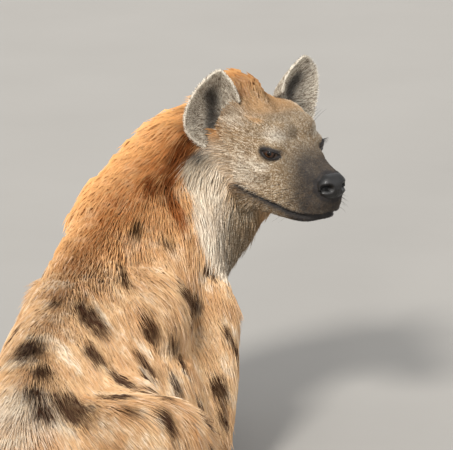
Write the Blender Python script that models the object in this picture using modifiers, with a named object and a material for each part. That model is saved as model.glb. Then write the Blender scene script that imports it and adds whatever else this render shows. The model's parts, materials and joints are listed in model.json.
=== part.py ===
"""Spotted hyena, life size, lying on its chest with the head turned back over its right shoulder.

Metres, +Z up. The trunk points along +Y and the animal's right side is at +X. The flats under the chest,
belly, legs and tail all lie at z = 0. The animal is fused from lofts and ellipsoids into one body, which is
then parted into the pieces a person would name, each 0.3 mm clear of the next.
"""

import math
import random

import bmesh
import bpy
import numpy as np
from mathutils import Matrix, Vector
from mathutils.bvhtree import BVHTree

GAP = 0.0003
FLAT_ANGLE = math.radians(0.02)
BODY_VOXEL = 0.008
HEAD_VOXEL = 0.0034
PAW_VOXEL = 0.005
BODY_TRIANGLES = 2350
HEAD_TRIANGLES = 1700
PAW_TRIANGLES = 220
HEAD_SOLVER = "MANIFOLD"

# The trunk is rolled a little to the left, so its middle lies to the right of the ridge of the back.
BODY_MIDDLE = 0.052
LEG_MIDDLE = 0.046

# Trunk sections from rump to chest: y, ridge x, top z, bottom z, half width, narrowing of the upper part.
TRUNK = [
    (-0.150, 0.014, 0.222, 0.075, 0.068, 0.10),
    (-0.090, 0.008, 0.272, 0.025, 0.108, 0.14),
    (0.000, 0.006, 0.308, -0.006, 0.130, 0.24),
    (0.100, 0.004, 0.329, -0.014, 0.135, 0.32),
    (0.220, 0.006, 0.345, -0.014, 0.136, 0.36),
    (0.340, 0.012, 0.358, -0.014, 0.136, 0.36),
    (0.450, 0.020, 0.372, -0.014, 0.136, 0.34),
    (0.550, 0.028, 0.380, -0.008, 0.135, 0.31),
    (0.630, 0.036, 0.365, 0.026, 0.126, 0.24),
    (0.700, 0.046, 0.330, 0.070, 0.098, 0.16),
]

# Neck: x, y, z of its middle, half width, half height.
NECK = [
    (0.054, 0.540, 0.250, 0.120, 0.128),
    (0.080, 0.615, 0.292, 0.114, 0.124),
    (0.116, 0.684, 0.338, 0.106, 0.114),
    (0.158, 0.732, 0.382, 0.096, 0.104),
    (0.196, 0.752, 0.412, 0.088, 0.094),
]

# Core of the mane from the back to the crown: x, y, z of its middle, half width, half height.
MANE = [
    (0.008, 0.300, 0.308, 0.030, 0.035),
    (0.016, 0.420, 0.320, 0.047, 0.050),
    (0.033, 0.530, 0.337, 0.058, 0.058),
    (0.048, 0.615, 0.356, 0.068, 0.066),
    (0.084, 0.680, 0.391, 0.065, 0.067),
    (0.126, 0.720, 0.433, 0.056, 0.062),
    (0.172, 0.745, 0.470, 0.042, 0.048),
]

# Shoulder blades: middle of the right one, and half sizes.
SHOULDER_BLADE = ((0.094, 0.480, 0.236), (0.076, 0.170, 0.104))

# Breast under the throat: middle and half sizes.
BREAST = ((0.066, 0.672, 0.225), (0.098, 0.085, 0.125))

# The left side of the rolled body sits lower by this share.
LEFT_DROP = 0.90
LEFT_TUCK = 0.024

# Legs of the right side, and the plane that mirrors them: x, y, z, half width, half height.
UPPER_FORELEG = [
    (0.143, 0.605, 0.224, 0.075, 0.086),
    (0.166, 0.530, 0.145, 0.062, 0.070),
    (0.180, 0.450, 0.066, 0.050, 0.054),
]
LOWER_FORELEG = [
    (0.180, 0.445, 0.052, 0.044, 0.050),
    (0.164, 0.560, 0.043, 0.037, 0.042),
    (0.136, 0.700, 0.033, 0.030, 0.034),
]
THIGH = [
    (0.128, 0.000, 0.192, 0.086, 0.098),
    (0.164, 0.100, 0.166, 0.078, 0.090),
    (0.190, 0.200, 0.120, 0.056, 0.066),
]
SHANK = [
    (0.192, 0.205, 0.105, 0.046, 0.052),
    (0.206, 0.080, 0.062, 0.038, 0.042),
    (0.206, -0.040, 0.042, 0.028, 0.034),
]
METATARSUS = [
    (0.206, -0.052, 0.034, 0.026, 0.032),
    (0.212, 0.040, 0.026, 0.025, 0.028),
]

# Paws: heel, heading clockwise from +Y, length, half width.
FOREPAW = ((0.136, 0.690, 0.0), math.radians(-14.0), 0.125, 0.040)
HIND_PAW = ((0.212, 0.030, 0.0), math.radians(5.0), 0.105, 0.034)

TAIL = [
    (0.012, -0.120, 0.200, 0.036, 0.036),
    (0.014, -0.185, 0.135, 0.028, 0.028),
    (0.004, -0.225, 0.060, 0.026, 0.026),
    (-0.036, -0.250, 0.026, 0.026, 0.026),
    (-0.086, -0.262, 0.022, 0.028, 0.026),
]
TAIL_BRUSH = [
    (-0.086, -0.262, 0.022, 0.028, 0.026),
    (-0.130, -0.264, 0.022, 0.026, 0.022),
    (-0.170, -0.258, 0.020, 0.018, 0.016),
    (-0.200, -0.248, 0.016, 0.008, 0.008),
]

# Locks of long hair. Each row: stations along, locks across, length, half width, and how far they stand off.
MANE_LOCKS = (12, 5, 0.086, 0.0170, 0.48)
CROWN_LOCKS = (3, 3, 0.060, 0.0140, 1.00)
RUMP_LOCKS = (3, 4, 0.080, 0.0230, 0.30)
CHEST_LOCKS = (3, 4, 0.064, 0.0170, 0.42)
BRUSH_LOCKS = (3, 5, 0.080, 0.0120, 0.30)
LOCK_THICKNESS = 0.0042
LOCK_SINK = 0.012
LOCK_LIFTS = (0.0, 0.25, 0.5, 0.8)
CUT_MARGIN = 0.010
SEED = 7

# Head: the point between the eyes and its heading clockwise from +Y. Its own axes are forward, right and up.
BETWEEN_EYES = Vector((0.290, 0.680, 0.454))
HEAD_HEADING = math.radians(135.0)

# Head sections from nose to nape: forward, half width, top, bottom, narrowing of the upper part.
HEAD = [
    (0.098, 0.0210, -0.022, -0.068, 0.00),
    (0.086, 0.0290, -0.015, -0.088, 0.05),
    (0.068, 0.0330, -0.009, -0.098, 0.10),
    (0.045, 0.0370, 0.003, -0.103, 0.14),
    (0.022, 0.0420, 0.020, -0.105, 0.12),
    (-0.004, 0.0530, 0.037, -0.105, 0.06),
    (-0.035, 0.0680, 0.055, -0.103, 0.05),
    (-0.065, 0.0760, 0.066, -0.100, 0.06),
    (-0.095, 0.0780, 0.070, -0.098, 0.08),
    (-0.130, 0.0800, 0.066, -0.098, 0.06),
    (-0.165, 0.0820, 0.055, -0.100, 0.00),
]

# Swellings on each side of the head: centre, then half sizes, both forward, right, up.
CHEEKS = [
    ((0.062, 0.015, -0.062), (0.036, 0.018, 0.024)),
    ((-0.048, 0.047, -0.026), (0.052, 0.019, 0.030)),
    ((-0.066, 0.048, -0.062), (0.050, 0.030, 0.036)),
    ((-0.012, 0.031, 0.015), (0.034, 0.018, 0.015)),
    ((-0.080, 0.026, 0.038), (0.066, 0.040, 0.028)),
]

EYE_CENTRE = Vector((-0.0030, 0.0405, 0.0025))
EYE_RADIUS = 0.0135
LID_THICKNESS = 0.0020
EYE_TURN = math.radians(38.0)
EYE_OPENING = (0.0122, 0.0068)

NOSE_CENTRE = Vector((0.0900, 0.0, -0.0370))
NOSE_HALF = Vector((0.0165, 0.0245, 0.0185))
NOSTRIL = Vector((0.1020, 0.0125, -0.0370))
NOSTRIL_HALF = (0.011, 0.0052, 0.0062)

# Line of the mouth on the right side, from under the nose to the corner: forward, right, up.
MOUTH = [
    (0.108, 0.000, -0.071),
    (0.106, 0.015, -0.076),
    (0.084, 0.028, -0.080),
    (0.059, 0.032, -0.082),
    (0.035, 0.038, -0.080),
    (0.012, 0.047, -0.073),
    (-0.015, 0.056, -0.068),
    (-0.048, 0.066, -0.061),
]
MOUTH_GROOVE = 0.0036
MOUTH_DEPTH = 0.0100

# Rim of each ear, right and left, from its front root over the tip to its lower root: forward, outwards, up.
EAR_RIMS = {
    1: [
        (-0.070, 0.048, 0.068),
        (-0.074, 0.056, 0.092),
        (-0.080, 0.067, 0.110),
        (-0.084, 0.0755, 0.118),
        (-0.090, 0.0925, 0.109),
        (-0.096, 0.1145, 0.087),
        (-0.100, 0.129, 0.057),
        (-0.102, 0.127, 0.031),
        (-0.098, 0.116, 0.012),
        (-0.090, 0.098, 0.000),
    ],
    -1: [
        (-0.070, 0.032, 0.071),
        (-0.074, 0.043, 0.093),
        (-0.080, 0.066, 0.110),
        (-0.084, 0.086, 0.118),
        (-0.090, 0.102, 0.110),
        (-0.096, 0.118, 0.091),
        (-0.100, 0.124, 0.064),
        (-0.102, 0.122, 0.036),
        (-0.098, 0.112, 0.012),
        (-0.090, 0.096, 0.000),
    ],
}
EAR_ROOT = Vector((-0.084, 0.056, 0.030))
EAR_START = 0.22
EAR_STRIPS = 4
EAR_CUP = 0.025
EAR_THICKNESS = 0.0040

# Where the neck leaves the torso, and the head leaves the neck: a point and the heading and rise of the cut.
NECK_CUT = (Vector((0.070, 0.600, 0.290)), Vector((0.34, 0.76, 0.55)))
HEAD_CUT = (-0.146, math.radians(124.0))
NECK_REACH = (0.20, 0.40)
HEAD_REACH = (0.155, 0.35)

# Which way the fringe of the chest faces.
CHEST_SIDE = Vector((0.85, 0.0, -0.52))

# Pieces of the legs in the order they are taken off, with how far each cell stands off its limb.
LEG_PIECES = (
    ("lower_foreleg", LOWER_FORELEG, 0.008),
    ("upper_foreleg", UPPER_FORELEG, 0.006),
    ("hind_foot", METATARSUS, 0.008),
    ("shank", SHANK, 0.007),
    ("thigh", THIGH, 0.006),
)

COLOURS = {
    "coat": (0.52, 0.38, 0.22, 0.9),
    "leg": (0.45, 0.34, 0.22, 0.9),
    "head": (0.30, 0.23, 0.17, 0.9),
    "ear": (0.32, 0.29, 0.25, 0.9),
    "brush": (0.06, 0.045, 0.035, 0.9),
    "nose": (0.015, 0.014, 0.014, 0.35),
    "eye": (0.035, 0.016, 0.009, 0.08),
}


def clear_scene():
    """Starts from an empty scene with one collection for the animal and one for the cutters."""
    for obj in list(bpy.data.objects):
        bpy.data.objects.remove(obj, do_unlink=True)
    collections = []
    for name in ("spotted_hyena", "cutters"):
        collection = bpy.data.collections.new(name)
        bpy.context.scene.collection.children.link(collection)
        collections.append(collection)
    return collections


ANIMAL, CUTTERS = clear_scene()


def material(name):
    """One Principled finish a colour name."""
    found = bpy.data.materials.get(name)
    if found:
        return found
    made = bpy.data.materials.new(name)
    made.use_nodes = True
    shader = made.node_tree.nodes["Principled BSDF"]
    red, green, blue, roughness = COLOURS[name]
    shader.inputs["Base Color"].default_value = (red, green, blue, 1.0)
    shader.inputs["Roughness"].default_value = roughness
    shader.inputs["Metallic"].default_value = 0.0
    return made


def helper(name, mesh):
    """A working object that the model leaves out."""
    obj = bpy.data.objects.new(name, mesh)
    CUTTERS.objects.link(obj)
    obj.hide_render = True
    obj.display_type = "WIRE"
    return obj


def helper_from_bmesh(name, bm):
    """Makes a working object of a bmesh, in triangles that face outwards."""
    bmesh.ops.recalc_face_normals(bm, faces=bm.faces)
    bmesh.ops.triangulate(bm, faces=bm.faces, quad_method="FIXED")
    mesh = bpy.data.meshes.new(name)
    bm.to_mesh(mesh)
    bm.free()
    return helper(name, mesh)


def evaluate(obj):
    """Applies an object's modifiers in place."""
    graph = bpy.context.evaluated_depsgraph_get()
    mesh = bpy.data.meshes.new_from_object(obj.evaluated_get(graph))
    obj.modifiers.clear()
    old = obj.data
    obj.data = mesh
    bpy.data.meshes.remove(old)
    return obj


def in_triangles(obj):
    """Splits a shape's faces into triangles, so that a swollen copy of it splits alike."""
    bm = bmesh.new()
    bm.from_mesh(obj.data)
    bmesh.ops.triangulate(bm, faces=bm.faces, quad_method="FIXED")
    bm.to_mesh(obj.data)
    bm.free()
    return obj


def smooth_rows(rows, steps):
    """Points on the smooth curve through rows of numbers, steps to each stretch."""
    rows = np.array(rows, dtype=float)
    before = 2.0 * rows[0] - rows[1]
    after = 2.0 * rows[-1] - rows[-2]
    padded = np.vstack([before, rows, after])
    out = []
    for i in range(len(rows) - 1):
        a, b, c, d = padded[i : i + 4]
        for t in np.arange(steps) / steps:
            out.append(0.5 * (2 * b + (c - a) * t + (2 * a - 5 * b + 4 * c - d) * t**2
                              + (3 * b - a - 3 * c + d) * t**3))
    out.append(rows[-1])
    return np.array(out)


def skin_rings(name, rings, poles):
    """A closed loft over rings of points, drawn to a pole at each end."""
    bm = bmesh.new()
    loops = [[bm.verts.new(point) for point in ring] for ring in rings]
    ends = [bm.verts.new(point) for point in poles]
    count = len(loops[0])
    for first, second in zip(loops, loops[1:]):
        for i in range(count):
            j = (i + 1) % count
            bm.faces.new((first[i], first[j], second[j]))
            bm.faces.new((first[i], second[j], second[i]))
    for loop, pole in ((loops[0], ends[0]), (loops[-1], ends[1])):
        for i in range(count):
            bm.faces.new((loop[i], loop[(i + 1) % count], pole))
    return helper_from_bmesh(name, bm)


def tube(name, rows, grow=0.0, sides=20, steps=4, dome=0.75):
    """A round-ended limb through rows of x, y, z, half width, half height, level across."""
    rows = smooth_rows(rows, steps)
    middles = [Vector(row[:3]) for row in rows]
    rings, poles = [], []
    for index, row in enumerate(rows):
        ahead = middles[min(index + 1, len(rows) - 1)] - middles[max(index - 1, 0)]
        ahead.normalize()
        across = ahead.cross(Vector((0, 0, 1)))
        across.normalize()
        over = across.cross(ahead)
        half_width, half_height = row[3] + grow, row[4] + grow
        bulge = dome * 0.5 * (half_width + half_height)
        places = [(0.0, 1.0)]
        if index == 0:
            places = [(-math.sin(a) * bulge, math.cos(a)) for a in (1.0, 0.5)] + places
            poles.append(middles[index] - ahead * bulge)
        if index == len(rows) - 1:
            places += [(math.sin(a) * bulge, math.cos(a)) for a in (0.5, 1.0)]
            poles.append(middles[index] + ahead * bulge)
        for along, scale in places:
            ring = []
            for k in range(sides):
                angle = math.tau * k / sides
                offset = across * (half_width * math.sin(angle)) + over * (half_height * math.cos(angle))
                ring.append(middles[index] + ahead * along + offset * scale)
            rings.append(ring)
    return skin_rings(name, rings, poles)


def trunk():
    """Barrel of the body: sections whose upper part narrows and leans to the ridge of the back."""
    rings = []
    rows = smooth_rows(TRUNK, 3)
    for y, ridge, top, bottom, half_width, narrow in rows:
        middle_z, half_height = (top + bottom) / 2, (top - bottom) / 2
        ring = []
        for k in range(28):
            angle = math.tau * k / 28
            width = half_width * math.sin(angle) * (1.0 - narrow * math.cos(angle))
            lean = (ridge - BODY_MIDDLE) * math.cos(angle)
            ring.append(Vector((BODY_MIDDLE + lean + width, y, middle_z + half_height * math.cos(angle))))
        rings.append(ring)
    first, last = rows[0], rows[-1]
    rump = Vector((BODY_MIDDLE * 0.6, first[0] - 0.028, (first[2] + first[3]) / 2))
    breast = Vector((BODY_MIDDLE, last[0] + 0.035, (last[2] + last[3]) / 2))
    for pole, source, where in ((rump, rings[0], 0), (breast, rings[-1], len(rings) + 1)):
        middle = sum(source, Vector()) / len(source)
        shrunk = [pole.lerp(point, 0.72) + (middle - pole) * -0.14 for point in source]
        rings.insert(where, shrunk)
    return skin_rings("trunk", rings, (rump, breast))


def head_point(forward, right, up):
    """A place in the head's own axes, in the model's."""
    heading = HEAD_HEADING
    ahead = Vector((math.sin(heading), math.cos(heading), 0.0))
    side = Vector((math.cos(heading), -math.sin(heading), 0.0))
    return BETWEEN_EYES + ahead * forward + side * right + Vector((0, 0, up))


def crown_line():
    """The middle of the skull under the crown tuft, from its nape to its brow."""
    return [tuple(head_point(forward, 0.0, 0.02)) for forward in (-0.145, -0.115, -0.085)]


def head_matrix():
    """Turns and moves a shape from the head's own axes to the model's."""
    origin = head_point(0, 0, 0)
    columns = [head_point(*axis) - origin for axis in ((1, 0, 0), (0, 1, 0), (0, 0, 1))]
    turn = Matrix(columns).transposed()
    return Matrix.Translation(origin) @ turn.to_4x4()


def head_loft():
    """Skull and muzzle as one loft from nose to nape."""
    rings = []
    for forward, half_width, top, bottom, narrow in smooth_rows(HEAD, 2):
        middle, half_height = (top + bottom) / 2, (top - bottom) / 2
        ring = []
        for k in range(28):
            angle = math.tau * k / 28
            square = 1.0 - 0.10 * math.cos(4 * angle)
            width = half_width * math.sin(angle) * (1.0 - narrow * math.cos(angle)) * square
            ring.append(head_point(forward, width, middle + half_height * math.cos(angle) * square))
        rings.append(ring)
    poles = (head_point(0.106, 0, -0.045), head_point(-0.185, 0, -0.02))
    return skin_rings("head_loft", rings, poles)


def ellipsoid(name, matrix, half_sizes, segments=24, rings=14):
    """A UV sphere drawn out to three half sizes and placed by a matrix."""
    bm = bmesh.new()
    bmesh.ops.create_uvsphere(bm, u_segments=segments, v_segments=rings, radius=1.0)
    bmesh.ops.transform(bm, matrix=matrix @ Matrix.Diagonal((*half_sizes, 1.0)), verts=bm.verts)
    return helper_from_bmesh(name, bm)


def in_head(name, centre, half_sizes, **sizes):
    """An ellipsoid placed in the head's own axes."""
    return ellipsoid(name, head_matrix() @ Matrix.Translation(Vector(centre)), half_sizes, **sizes)


def joined(name, pieces):
    """One working object holding several closed shapes, which are removed."""
    bm = bmesh.new()
    for piece in pieces:
        bm.from_mesh(piece.data)
        mesh = piece.data
        bpy.data.objects.remove(piece, do_unlink=True)
        bpy.data.meshes.remove(mesh)
    mesh = bpy.data.meshes.new(name)
    bm.to_mesh(mesh)
    bm.free()
    return helper(name, mesh)


def fused(name, pieces, voxel, smoothing, triangles):
    """Melts overlapping closed shapes into one soft body of about so many triangles."""
    obj = joined(name, pieces)
    remesh = obj.modifiers.new("melt", "REMESH")
    remesh.mode = "VOXEL"
    remesh.voxel_size = voxel
    remesh.adaptivity = 0.0
    soften = obj.modifiers.new("soften", "SMOOTH")
    soften.factor = 0.5
    soften.iterations = smoothing
    evaluate(obj)
    thin = obj.modifiers.new("thin", "DECIMATE")
    obj.data.calc_loop_triangles()
    thin.ratio = min(1.0, triangles / len(obj.data.loop_triangles))
    evaluate(obj)
    return keep_largest(obj)


def keep_largest(obj):
    """Drops all but the largest closed surface of an object."""
    bm = bmesh.new()
    bm.from_mesh(obj.data)
    left = set(bm.verts)
    islands = []
    while left:
        stack = [left.pop()]
        island = set(stack)
        while stack:
            for edge in stack.pop().link_edges:
                for vert in edge.verts:
                    if vert in left:
                        left.discard(vert)
                        island.add(vert)
                        stack.append(vert)
        islands.append(island)
    islands.sort(key=len)
    scraps = [vert for island in islands[:-1] for vert in island]
    bmesh.ops.delete(bm, geom=scraps, context="VERTS")
    bm.to_mesh(obj.data)
    bm.free()
    return obj


def boolean(obj, cutter, operation, solver="EXACT"):
    """Cuts, keeps or adds a shape, applied at once."""
    modifier = obj.modifiers.new(operation.lower(), "BOOLEAN")
    modifier.object = cutter
    modifier.operation = operation
    modifier.solver = solver
    return keep_largest(evaluate(obj))


def copy_of(obj, name):
    return helper(name, obj.data.copy())


def hull_of(obj, name):
    """The tight convex wrapping of a shape."""
    bm = bmesh.new()
    bm.from_mesh(obj.data)
    found = bmesh.ops.convex_hull(bm, input=bm.verts)
    bmesh.ops.delete(bm, geom=found["geom_interior"], context="VERTS")
    loose = [face for face in bm.faces if face not in set(found["geom"])]
    bmesh.ops.delete(bm, geom=loose, context="FACES")
    return helper_from_bmesh(name, bm)


def part_off(body, name, cell, grown):
    """Takes the part of the body inside a cell as a new piece, and leaves the body clear of it by the gap."""
    piece = boolean(copy_of(body, name), cell, "INTERSECT")
    boolean(body, grown, "DIFFERENCE")
    return piece


def left_place(x, y, z):
    """The left side's match of a place on the right: lowered as the body rolls, the shoulder tucked in."""
    tuck = LEFT_TUCK if z > 0.2 else 0.0
    return 2 * LEG_MIDDLE - x + tuck, y, z * (LEFT_DROP if z > 0.1 else 1.0)


def mirror_rows(rows):
    return [(*left_place(*row[:3]), *row[3:]) for row in rows]


def merge_flat_splits(obj):
    """Merges the splits that cuts leave in one flat face, where the shape stays closed."""
    bm = bmesh.new()
    bm.from_mesh(obj.data)
    bmesh.ops.dissolve_limit(bm, angle_limit=FLAT_ANGLE, verts=bm.verts, edges=bm.edges)
    bmesh.ops.triangulate(bm, faces=bm.faces)
    if all(edge.is_manifold for edge in bm.edges):
        bm.to_mesh(obj.data)
    bm.free()


def finish(obj, name, colour):
    """Makes a working object one of the animal's own nodes."""
    merge_flat_splits(obj)
    obj.name = name
    obj.data.name = name
    CUTTERS.objects.unlink(obj)
    ANIMAL.objects.link(obj)
    obj.hide_render = False
    obj.display_type = "TEXTURED"
    obj.data.materials.clear()
    obj.data.materials.append(material(colour))
    for polygon in obj.data.polygons:
        polygon.material_index = 0
    obj.data.shade_smooth()
    return obj


def disc(name, point, normal, radius, depth):
    """A cylinder that starts at a point and runs along a normal, for a flat cut."""
    bm = bmesh.new()
    bmesh.ops.create_cone(bm, cap_ends=True, segments=48, radius1=radius, radius2=radius, depth=depth)
    turn = normal.to_track_quat("Z", "Y").to_matrix().to_4x4()
    place = Matrix.Translation(point) @ turn @ Matrix.Translation((0, 0, depth / 2))
    bmesh.ops.transform(bm, matrix=place, verts=bm.verts)
    return helper_from_bmesh(name, bm)


def floor_block():
    """Everything under the floor, which cuts the flats that the animal rests on."""
    bm = bmesh.new()
    bmesh.ops.create_cube(bm, size=1.0)
    place = Matrix.Translation((0.0, 0.3, -0.25)) @ Matrix.Diagonal((3.0, 3.0, 0.5, 1.0))
    bmesh.ops.transform(bm, matrix=place, verts=bm.verts)
    return helper_from_bmesh("floor_block", bm)


FLOOR = floor_block()


def both_sides(rows):
    return (("right", rows), ("left", mirror_rows(rows)))


def body_forms():
    """The lofts that melt into the body, legs and mane among them."""
    forms = [trunk(), tube("neck_form", NECK), tube("mane_form", MANE), head_loft()]
    centre, half = SHOULDER_BLADE
    for place in (centre, left_place(*centre)):
        forms.append(ellipsoid("shoulder_blade", Matrix.Translation(place), half))
    centre, half = BREAST
    forms.append(ellipsoid("breast", Matrix.Translation(centre), half))
    for rows in (UPPER_FORELEG, LOWER_FORELEG, THIGH, SHANK, METATARSUS):
        forms += [tube(f"leg_form_{side}", path) for side, path in both_sides(rows)]
    return forms


def surface_of(obj):
    """A tree for finding places on an object's surface."""
    return BVHTree.FromPolygons([vert.co for vert in obj.data.vertices],
                                [polygon.vertices[:] for polygon in obj.data.polygons])


def lock(root, out, lie, length, half_width, stand, grow=0.0):
    """One flat lock of hair, rooted under the surface, that rises along out and bends over to lie."""
    across = out.cross(lie).normalized()
    start = root - out * LOCK_SINK
    middle = root + out * (length * 0.62 * stand) + lie * (length * 0.18)
    end = root + out * (length * 0.58 * stand) + lie * (length * (1.0 - 0.35 * stand))
    bm = bmesh.new()
    rings = []
    for t, broad, thick in ((0.0, 0.75, 1.0), (0.45, 1.0, 0.8), (0.78, 0.62, 0.5)):
        at = start.lerp(middle, t).lerp(middle.lerp(end, t), t)
        ahead = (middle.lerp(end, t) - start.lerp(middle, t)).normalized()
        over = ahead.cross(across).normalized()
        wide = across * (half_width * broad + 2 * grow)
        high = over * (LOCK_THICKNESS * thick + 2 * grow)
        rings.append([bm.verts.new(at + corner) for corner in (wide, high, -wide, -high)])
    tip = bm.verts.new(end + (end - middle).normalized() * 4 * grow)
    for first, second in zip(rings, rings[1:]):
        for i in range(4):
            j = (i + 1) % 4
            bm.faces.new((first[i], first[j], second[j], second[i]))
    for i in range(4):
        bm.faces.new((rings[-1][i], rings[-1][(i + 1) % 4], tip))
    bm.faces.new(rings[0])
    return helper_from_bmesh("lock", bm)


def lock_seats(tree, rows, sizes, draw, fan=70.0, up=Vector((0, 0, 1)), backwards=True, longer=1.0):
    """Roots for locks set round a path of rows, where rays towards it meet the skin, each with its sizes."""
    stations, across, length, half_width, stand = sizes
    path = smooth_rows([row[:3] for row in rows], 8)
    seats = []
    for station in range(stations):
        share = station / max(stations - 1, 1)
        at = share * (len(path) - 1)
        low = min(int(at), len(path) - 2)
        here = Vector(path[low]).lerp(Vector(path[low + 1]), at - low)
        ahead = Vector(path[low + 1] - path[low]).normalized()
        side = ahead.cross(up).normalized()
        top = side.cross(ahead)
        for number in range(across):
            shift = 0.5 if station % 2 else 0.0
            spread = ((number + shift) / (across - 0.5) - 0.5) * 2.0
            angle = math.radians(fan * spread + draw.uniform(-4.0, 4.0))
            ray = side * math.sin(angle) + top * math.cos(angle)
            origin = here + ahead * draw.uniform(-0.006, 0.006)
            turn = math.radians(draw.uniform(-14.0, 14.0))
            vary = [draw.uniform(0.88, 1.14) for _ in range(3)]
            root, out, _, _ = tree.ray_cast(origin + ray * 0.30, -ray)
            if root is None or root.z < LOCK_SINK:
                continue
            flow = -ahead if backwards else ahead
            lie = Matrix.Rotation(turn, 3, out) @ (flow - out * flow.dot(out)).normalized()
            reach = length * vary[0] * (1.0 + (longer - 1.0) * share)
            seats.append((root, out.normalized(), lie, reach, half_width * vary[1], stand * vary[2]))
    return seats


def between(seats, after=None, before=None):
    """The seats that lie past one flat cut and short of another, by a margin."""
    kept = []
    for seat in seats:
        past = after is None or (seat[0] - after[0]).dot(after[1].normalized()) > CUT_MARGIN
        short = before is None or (seat[0] - before[0]).dot(before[1].normalized()) < -CUT_MARGIN
        if past and short:
            kept.append(seat)
    return kept


def with_locks(obj, seats, others):
    """Roots locks in an object by one union. Each is raised until it clears the others, or is left out."""
    trees = [surface_of(other) for other in others]
    group = bpy.data.collections.new("locks")
    bpy.context.scene.collection.children.link(group)
    for root, out, lie, length, half_width, stand in seats:
        for lift in LOCK_LIFTS:
            sizes = (root, out, lie, length, half_width, stand + lift)
            trial = lock(*sizes, grow=GAP)
            reach = surface_of(trial)
            bpy.data.objects.remove(trial, do_unlink=True)
            if not any(reach.overlap(tree) for tree in trees):
                piece = lock(*sizes)
                CUTTERS.objects.unlink(piece)
                group.objects.link(piece)
                break
    union = obj.modifiers.new("locks", "BOOLEAN")
    union.operation = "UNION"
    union.operand_type = "COLLECTION"
    union.collection = group
    union.solver = "MANIFOLD"
    evaluate(obj)
    for piece in list(group.objects):
        bpy.data.objects.remove(piece, do_unlink=True)
    bpy.data.collections.remove(group)
    return keep_largest(obj)


def paw(name, heel, heading, length, half_width):
    """A dog-like paw: a pad, four toes side by side and their blunt claws."""
    place = Matrix.Translation(Vector(heel)) @ Matrix.Rotation(-heading, 4, "Z")
    palm = place @ Matrix.Translation((0, length * 0.36, 0.018))
    pieces = [ellipsoid("palm", palm, (half_width * 0.82, length * 0.42, 0.024))]
    for across in (-0.68, -0.24, 0.24, 0.68):
        reach = length * (0.80 if abs(across) > 0.5 else 0.90)
        at = place @ Matrix.Translation((across * half_width, reach - 0.018, 0.014))
        pieces.append(ellipsoid("toe", at, (half_width * 0.27, 0.026, 0.017), segments=16, rings=10))
        tip = place @ Matrix.Translation((across * half_width * 1.05, reach + 0.010, 0.010))
        pieces.append(ellipsoid("claw", tip, (0.004, 0.011, 0.005), segments=10, rings=6))
    return fused(name, pieces, PAW_VOXEL, 2, PAW_TRIANGLES)


def eye_matrix(side):
    """Places the eye of one side: +Y looks out of the head, +Z is up."""
    centre = Vector((EYE_CENTRE.x, EYE_CENTRE.y * side, EYE_CENTRE.z))
    look = Matrix.Rotation(side * EYE_TURN, 4, "Z")
    ahead = Matrix.Rotation(-math.pi / 2, 4, "Z")
    return head_matrix() @ Matrix.Translation(centre) @ look @ ahead


def lid(side):
    """The swelling of the lids round one eye, before the eye and its opening are cut into it."""
    radius = EYE_RADIUS + GAP + LID_THICKNESS
    return ellipsoid("lid", eye_matrix(side), (radius * 1.12, radius, radius * 1.02), segments=16, rings=10)


def eye_slit(side):
    """The almond between the lids."""
    half_wide, half_high = EYE_OPENING
    bm = bmesh.new()
    bmesh.ops.create_cone(bm, cap_ends=True, segments=20, radius1=1.0, radius2=1.0, depth=0.03)
    lie = Matrix.Translation((0, 0.019, 0)) @ Matrix.Rotation(math.pi / 2, 4, "X")
    bmesh.ops.transform(bm, matrix=lie @ Matrix.Diagonal((half_wide, half_high, 1, 1)), verts=bm.verts)
    bmesh.ops.transform(bm, matrix=eye_matrix(side), verts=bm.verts)
    return helper_from_bmesh("eye_slit", bm)


def mouth_blade():
    """A thin ribbon along the line of the mouth, sunk into the lips on both sides."""
    line = smooth_rows(MOUTH, 1)
    points = [(f, -r, u) for f, r, u in line[:0:-1]] + [tuple(p) for p in line]
    bm = bmesh.new()
    columns = []
    for forward, right, up in points:
        inward = 1.0 - MOUTH_DEPTH / max(math.hypot(forward + 0.05, right), MOUTH_DEPTH)
        inner = (-0.05 + (forward + 0.05) * inward, right * inward)
        outer = (forward + (forward + 0.05) * 0.12, right * 1.25)
        half = MOUTH_GROOVE / 2
        column = [head_point(*inner, up - half), head_point(*outer, up - half),
                  head_point(*outer, up + half), head_point(*inner, up + half)]
        columns.append([bm.verts.new(p) for p in column])
    for first, second in zip(columns, columns[1:]):
        for i in range(4):
            j = (i + 1) % 4
            bm.faces.new((first[i], first[j], second[j], second[i]))
    bm.faces.new(columns[0])
    bm.faces.new(columns[-1])
    return helper_from_bmesh("mouth_blade", bm)


def swollen(obj, by):
    """Pushes every point of a closed shape out along its normal, far enough to clear its sharp edges too."""
    push = obj.modifiers.new("push", "DISPLACE")
    push.strength = by * 1.7
    push.mid_level = 0.0
    return evaluate(obj)


def ear(name, side):
    """A cupped ear: a sheet drawn from its sunken root to its rim, made solid on both faces."""
    root = np.array(EAR_ROOT)
    back = np.array((-0.88, -0.45, 0.0))
    bm = bmesh.new()
    rows = []
    for place in smooth_rows(EAR_RIMS[side], 2):
        row = []
        for t in np.linspace(EAR_START, 1.0, EAR_STRIPS + 1):
            bow = EAR_CUP * math.sin(math.pi * min(1.0, 0.10 + 0.90 * t)) * (1.0 - 0.3 * t)
            forward, right, up = root + (place - root) * t + back * bow
            row.append(bm.verts.new(head_point(forward, side * right, up)))
        rows.append(row)
    for first, second in zip(rows, rows[1:]):
        for a, b, c, d in zip(first, first[1:], second[1:], second):
            bm.faces.new((a, b, c, d))
    obj = helper_from_bmesh(name, bm)
    shell = obj.modifiers.new("shell", "SOLIDIFY")
    shell.thickness = EAR_THICKNESS
    shell.offset = 0.0
    shell.use_even_offset = False
    return in_triangles(evaluate(obj))


def nose_pad(name, grow=0.0):
    half = [size + grow for size in NOSE_HALF]
    return in_head(name, NOSE_CENTRE, half, segments=16, rings=10)


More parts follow.
